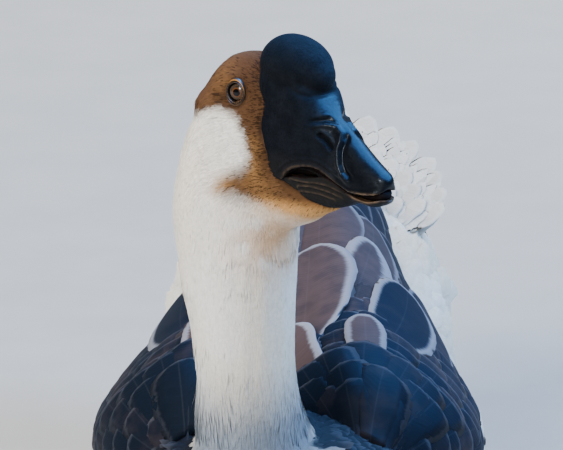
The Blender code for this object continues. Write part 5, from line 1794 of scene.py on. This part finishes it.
@dataclass
class Legs:
    """Folded legs and webbed feet flat under the flanks: tapered limbs fused with their webs."""

    tarsus: tuple = ((62, 112, 9, 6.5), (61, 92, 9, 6.2), (60, 66, 8.5, 6.0), (59.5, 47, 8, 6.8))
    foot_at: tuple = (59, 32, 0)
    foot_root: tuple = ((0, 4.5, 6.4, 5.2), (0, -1, 6.2, 7.0), (0, -8, 4.6, 6.0))
    toes: tuple = ((-24, 68, 5.2, 3.6), (2, 82, 5.4, 3.8), (30, 70, 5.0, 3.4))
    hind_toe: tuple = (100, 20, 3.6, 2.6)
    web_reach: float = 0.84
    web_thickness: float = 2.6
    claw: tuple = (9, 2.6)

    def limb(self, rows: Array, around: int = 20) -> Surface:
        """A round limb through rows of x, y, z and radius, with rounded ends."""
        rows = np.asarray(rows, float)
        table = smooth(np.arange(len(rows)), rows, np.linspace(0, len(rows) - 1, 8 * len(rows)))
        middle, radius = table[:, None, :3], table[:, None, 3:]
        tangent = unit(np.gradient(table[:, :3], axis=0))
        side = unit(np.cross(tangent, [0, 0, 1.0]))
        top = np.cross(side, tangent)
        c, s = (part[:, None] for part in superellipse(around, 2.0))
        rings = middle + radius * (c * side[:, None] + s * top[:, None])
        first, last = (table[k, :3] + sign * tangent[k] * table[k, 3] * 0.6 for k, sign in ((0, -1), (-1, 1)))
        return loft(rings, first, last)

    def away(self, heading: float) -> Array:
        """The way out from the foot's root at a heading in degrees, along the floor."""
        angle = math.radians(heading)
        return np.array([math.sin(angle), -math.cos(angle), 0])

    def toe(self, heading: float, length: float, root: float, tip: float) -> list[Surface]:
        """A toe flat on the floor with knuckles, and its claw."""
        away, at, up = self.away(heading), np.array(self.foot_at, float), np.array([0, 0, 1.0])
        share = np.array([0, 0.18, 0.36, 0.5, 0.64, 0.8, 0.93])
        radius = (root + (tip - root) * share) * np.array([1, 0.94, 1.1, 0.95, 1.1, 0.94, 1.0])
        rows = [(*(at + away * length * s + up * r * 0.72), r) for s, r in zip(share, radius)]
        end = at + away * length * 0.93
        claw = [(*(end + up * tip * 0.9), tip * 0.72)]
        for s in (0.35, 0.7, 1):
            place = end + away * self.claw[0] * s + up * tip * (0.95 - 0.45 * s * s)
            claw.append((*place, self.claw[1] * (1 - 0.85 * s)))
        return [self.limb(rows), self.limb(claw, 12)]

    def web(self) -> Surface:
        """The webs between the front toes: a fan from the foot's root, scalloped in front."""
        angles, reach = [], []
        for (before, was, *_a), (heading, length, *_b) in zip(self.toes, self.toes[1:]):
            t = np.linspace(0, 1, 15)
            angles.append(before + (heading - before) * t)
            reach.append((was + (length - was) * t) * self.web_reach * (1 - 0.16 * np.sin(t * np.pi)))
        a, r = np.radians(np.concatenate(angles)), np.concatenate(reach)
        share = np.linspace(0.02, 1, 30)
        away = np.stack([np.sin(a), -np.cos(a), 0 * a], 1)
        fan = np.array(self.foot_at) + away[None] * (r * share[:, None])[..., None] + [0, 3, 0]
        ripple = 0.35 * np.sin(fan[..., 1] * 0.9) * np.sin(np.linspace(0, 2 * np.pi, len(a))) ** 2
        top = fan + (self.web_thickness + ripple)[..., None] * [0, 0, 1]
        rings = np.concatenate([top, (fan - [0, 0, 1])[:, ::-1]], axis=1)
        return loft(rings, rings[0].mean(0), rings[-1].mean(0))

    def foot(self, side: str, finish: Finish) -> bpy.types.Object:
        """One foot: root, toes, claws and webs in one skin."""
        x, y, _z = self.foot_at
        parts = [self.limb([(x + dx, y + dy, z, r) for dx, dy, z, r in self.foot_root]), self.web()]
        tips = []
        for row in (*self.toes, self.hind_toe):
            parts += self.toe(*row)
            tips.append(np.array(self.foot_at) + self.away(row[0]) * row[1])
        shape = fused(parts, 0.75).relaxed(2)
        points = shape.points
        points[:, 2] = np.maximum(points[:, 2], 0.05)
        to_claw = np.min([np.linalg.norm((points - tip)[:, :2], axis=1) for tip in tips], axis=0)
        return self.finished(f"foot_skin_{side}", shape, ease(5.2, 4.2, to_claw), side, finish)

    def leg(self, side: str, finish: Finish) -> bpy.types.Object:
        """One folded shank."""
        shape = fused([self.limb(self.tarsus, 30)], 0.9).relaxed(2)
        shape.points[:, 2] = np.maximum(shape.points[:, 2], 0.3)
        return self.finished(f"leg_skin_{side}", shape, np.zeros(len(shape.points)), side, finish)

    def finished(self, name: str, shape: Surface, rim: Array, side: str, finish: Finish) -> bpy.types.Object:
        """The left piece, or its mirror image where it is the right one."""
        return mesh_piece(name, shape if SIDES[side] > 0 else shape.mirrored(), finish, {"rim": rim})


# ---------------------------------------------------------------- the whole goose


@dataclass
class Goose:
    """The whole bird: its outline is shaped once, and the skin, coat and bare parts take it from there."""

    flesh: Flesh
    wing: Wing
    tail: Tail
    markings_and_shade: MarkingsAndShade
    skin_grain: float = 2.3
    # hollow over a foot: middle x, y, height and radii, then over a shank: x, radius, y from and to, height
    foot_room: tuple = ((66, -9, 1), (48, 57, 14))
    shank_room: tuple = (60.5, 8.0, 34, 120, 8.5)
    # how far the back of the crown is let in, by height in the head's frame
    crown: tuple = (
        (-14, 0), (-8, 0.5), (-3, 0.9), (2, 1.3), (8, 1.4), (12, 1.4), (16, 1.2), (22, 1.0),
    )

    def shaped(self) -> Surface:
        """The outline with hollows over the feet and shanks and level ground round the eyes."""
        whole = self.flesh.outline()
        p = whole.points
        (cx, cy, cz), (rx, ry, rz) = self.foot_room
        dome = 1 - ((np.abs(p[:, 0]) - cx) / rx) ** 2 - ((p[:, 1] - cy) / ry) ** 2
        roof = np.where(dome > 0, cz + rz * np.sqrt(np.clip(dome, 0, 1)), 0)
        middle, radius, first, last, high = self.shank_room
        trench = radius**2 - (np.abs(p[:, 0]) - middle) ** 2
        trench = np.where((p[:, 1] > first) & (p[:, 1] < last), trench, 0)
        roof = np.maximum(roof, np.where(trench > 0, high + np.sqrt(np.clip(trench, 0, None)), 0))
        p[:, 2] = np.where(p[:, 2] < 40, np.maximum(p[:, 2], roof), p[:, 2])
        for side in SIDES.values():
            eye = Eye(side)
            e = eye.from_goose(p)
            near = ease(14, 7, np.hypot(e[:, 0], e[:, 2])) * (e[:, 1] > 0)
            plane = 5.1 - 0.18 * e[:, 2] - 0.008 * (e[:, 0] ** 2 + e[:, 2] ** 2)
            e[:, 1] += (plane - e[:, 1]) * near
            p = np.where(near[:, None] > 0, eye.to_goose(e), p)

        n = Surface(p, whole.faces).relaxed(3).normals()
        x, _y, z = HEAD.from_goose(p).T
        nape = 2.0 * ease(-0.1, -0.7, n[:, 0]) * ease(205, 235, p[:, 2]) * ease(-2, -14, x) * ease(-2, -12, z)
        front = 1.4 * ease(2, 12, z) * (1 - 0.3 * ease(16, 22, z)) * ease(22, 14, x)
        for side in SIDES.values():
            e = Eye(side).from_goose(p)
            front = front * np.where(e[:, 1] > 0, ease(7, 12, np.hypot(e[:, 0], e[:, 2])), 1)
        behind = np.interp(z, *zip(*self.crown))
        crown = (front + (behind - front) * ease(-6, -15, x)) * ease(230, 250, p[:, 2]) * (p[:, 1] < -60)
        shape = Surface(p + n * (nape - crown)[:, None], whole.faces)
        return shape.relaxed(5, 0.6 * ease(0.1, 0.9, crown))

    @staticmethod
    def out_of_bill(q: Array) -> Array:
        """Draws in the skin where the bill stands, in the head's frame."""
        x, y, z = q.T
        share = ease(0.8, 3.6, Bill.over_face(q)) * (z > -75)
        return np.stack([x, y * (1 - 0.45 * share), z + (-30 - z) * 0.22 * share * (z > -30)], 1)

    def skin(self, outline: Surface, finish: Finish) -> bpy.types.Object:
        """One skin within the outline, the wings' cores and the rump, coloured as the coat is."""
        p = outline.points
        z = HEAD.from_goose(p)[:, 2]
        depth = 1.3 - 0.85 * ease(120, 180, p[:, 2]) * ease(-90, -112, p[:, 1])
        depth = np.where(z > -100, np.minimum(depth, 0.32 + 0.13 * ease(-50, -95, z)), depth)
        inner = p - outline.relaxed(4).normals() * depth[:, None]
        inner[:, 2] = np.maximum(inner[:, 2], 0.4)
        inner = HEAD.to_goose(self.out_of_bill(HEAD.from_goose(inner)))
        for side in SIDES.values():
            eye = Eye(side)
            e = eye.from_goose(inner)
            near = (np.hypot(e[:, 0] / 0.8, e[:, 2]) < 6.6) & (e[:, 1] > 0)
            e[:, 1] = np.where(near, np.minimum(e[:, 1], 2.0), e[:, 1])
            inner = np.where(near[:, None], eye.to_goose(e), inner)
        left = self.wing.core(1.6)
        parts = [Surface(inner, outline.faces), left, left.mirrored(), self.tail.core()]
        whole = fused(parts, self.skin_grain)
        dark = self.wing.covers(whole.points, 14.0)
        colour = np.where(dark[:, None], Tone.SLATE.rgb(), self.markings_and_shade.at(whole.points) * 0.9)
        return mesh_piece("skin", whole, finish, {"markings_and_shade": colour})


@dataclass(frozen=True)
class Lamp:
    """A soft square light: where it stands, its size in metres, power and colour."""

    name: str
    at: tuple
    size: float
    power: float
    colour: tuple
    diffuse: bool = True  # whether it lights matt surfaces
    glossy: bool = True  # whether it shows in reflections

    def place(self, target: Vector) -> None:
        """Adds it to the scene, turned to the target."""
        light = bpy.data.lights.new(self.name, "AREA")
        light.size, light.energy, light.color = self.size, self.power, self.colour
        obj = bpy.data.objects.new(self.name, light)
        obj.visible_diffuse, obj.visible_glossy = self.diffuse, self.glossy
        obj.location = self.at
        obj.rotation_euler = (target - Vector(self.at)).to_track_quat("-Z", "Y").to_euler()
        bpy.context.scene.collection.objects.link(obj)


@dataclass
class Studio:
    """A pale floor, soft lamps and the camera."""

    azimuth: float = math.radians(3.5)
    elevation: float = math.radians(17)
    scale: float = 1.88  # pixels for each millimetre at the head
    away: float = 3600.0  # from the camera to the head
    near_side: float = 20.0  # from between the eyes to the side of the head that the camera sees
    frame: tuple = (563, 450)
    head_pixel: tuple = (235.4, 93.0)  # where the point between the eyes' near sides falls
    lamps: tuple = (
        Lamp("key", (-1.7, -1.5, 2.0), 1.7, 125, (1.0, 0.93, 0.83), glossy=False),
        Lamp("sky", (1.75, 0.1, 1.7), 0.9, 62, (0.26, 0.53, 1.0), glossy=False),
        Lamp("panel", (0.85, 0.1, 1.9), 2.6, 440, (0.11, 0.40, 1.0), diffuse=False),
        Lamp("spark", (-0.37, -1.52, 1.13), 0.34, 24, (1.0, 1.0, 1.0), diffuse=False),
        Lamp("front", (-0.2, -2.8, 0.9), 1.6, 15, (0.95, 0.97, 1.0)),
        Lamp("back", (0.3, 2.1, 1.7), 1.3, 60, (1.0, 0.96, 0.90), glossy=False),
    )

    def camera(self) -> None:
        """Places the camera so that the head's scale and its place in the frame are kept."""
        a, e = self.azimuth, self.elevation
        forward = np.array([-math.sin(a) * math.cos(e), math.cos(a) * math.cos(e), -math.sin(e)])
        right = np.array([math.cos(a), math.sin(a), 0])
        eye = np.array(HEAD.at) - self.near_side * np.array([math.cos(HEAD.yaw), math.sin(HEAD.yaw), 0])
        at = eye - forward * self.away
        at = at - right * (self.head_pixel[0] - self.frame[0] / 2) / self.scale
        at = at - np.cross(right, forward) * (self.frame[1] / 2 - self.head_pixel[1]) / self.scale
        data = bpy.data.cameras.new("camera")
        data.sensor_width = 36.0
        data.lens = self.scale * self.away * data.sensor_width / self.frame[0]
        data.clip_end = 50
        obj = bpy.data.objects.new("camera", data)
        obj.location = at * MM
        obj.rotation_euler = Vector(forward).to_track_quat("-Z", "Y").to_euler()
        bpy.context.scene.collection.objects.link(obj)
        bpy.context.scene.camera = obj

    def floor(self) -> None:
        """A wide pale floor."""
        corners = np.array([[-6, -6, 0], [6, -6, 0], [6, 6, 0], [-6, 6, 0]]) / MM
        finish = Finish("floor_matt", Roughness=0.85, Specular_IOR_Level=0.2)
        tint = finish.ramp(finish.grain(60, detail=3), 0.3, 0.7)
        finish.into("Base Color", finish.mix(tint, Colour(0.52, 0.53, 0.535), Colour(0.55, 0.555, 0.56)))
        mesh_piece("floor", Surface(corners, [np.array([[0, 1, 2, 3]])]), finish)

    def light(self) -> None:
        """The lamps and a pale sky all round."""
        for lamp in self.lamps:
            lamp.place(Vector((0, -0.05, 0.2)))
        world = bpy.data.worlds.new("sky")
        world.use_nodes = True
        inputs = world.node_tree.nodes["Background"].inputs
        inputs["Color"].default_value = (0.80, 0.86, 0.95, 1)
        inputs["Strength"].default_value = 0.27
        bpy.context.scene.world = world


def kept(obj: bpy.types.Object) -> bpy.types.Object:
    """Lets a piece ride on the goose, in the record's slot for it."""
    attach(obj, BODY)
    LOG.info("%s: %d faces", obj.name, len(obj.data.polygons))
    return obj


def main() -> None:
    """Builds the goose from the inside out."""
    logging.basicConfig(level=logging.INFO, format="%(message)s")
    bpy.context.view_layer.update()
    studio = Studio()
    studio.camera()
    studio.floor()
    studio.light()

    wing, tail, markings_and_shade = Wing(), Tail(), MarkingsAndShade()
    goose = Goose(Flesh(), wing, tail, markings_and_shade)
    outline = goose.shaped()
    LOG.info("outline: %d points", len(outline.points))
    skin = kept(goose.skin(outline, skin_finish()))
    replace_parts(skin, "torso", "neck", "head", "wing_left", "wing_right", "tail")

    coat, grower = coat_finish(), Coat(outline, markings_and_shade, wing)
    for number, region in enumerate(Region):
        kept(grower.grow(region, coat, np.random.default_rng(7 + number)))

    dark, quill, white = (
        vane_finish(name, *(Colour(*parts) for parts in colours)) for name, *colours in (
            # the wing's vanes and quills: partly their own dark colour, partly painted shade that makes them
            # blue-black
            ("wing_vanes", (0.088, 0.060, 0.060), (0.0055, 0.0095, 0.019), (0.30, 0.32, 0.39)),
            ("wing_quills", (0.070, 0.048, 0.046), (0.009, 0.011, 0.018), (0.24, 0.25, 0.29)),
            ("white_vanes", (0.60, 0.575, 0.53), (0.78, 0.76, 0.71), (0.84, 0.825, 0.79)),
        )
    )
    for side in SIDES:
        for piece in wing.feathers(side, dark, quill, white):
            kept(piece)
    kept(tail.feathers(white))
    kept(tail.down(white))

    wet, lid = eye_finish(), lid_finish()
    for side, sign in SIDES.items():
        eye = Eye(sign)
        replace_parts(kept(eye.ball(f"eyeball_{side}", wet)), f"eye_{side}")
        kept(eye.lids(f"lids_{side}", lid))

    bill, bare, mouth = Bill(), bill_finish(), mouth_finish()
    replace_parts(kept(bill.upper_half(bare)), "bill_upper")
    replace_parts(kept(bill.lower_half(bare)), "bill_lower")
    kept(bill.tongue(mouth))
    kept(bill.lamellae(mouth))

    legs, orange = Legs(), foot_finish()
    for side in SIDES:
        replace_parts(kept(legs.foot(side, orange)), f"foot_{side}")
        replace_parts(kept(legs.leg(side, orange)), f"leg_{side}")


if __name__ == "__main__":
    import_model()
    main()
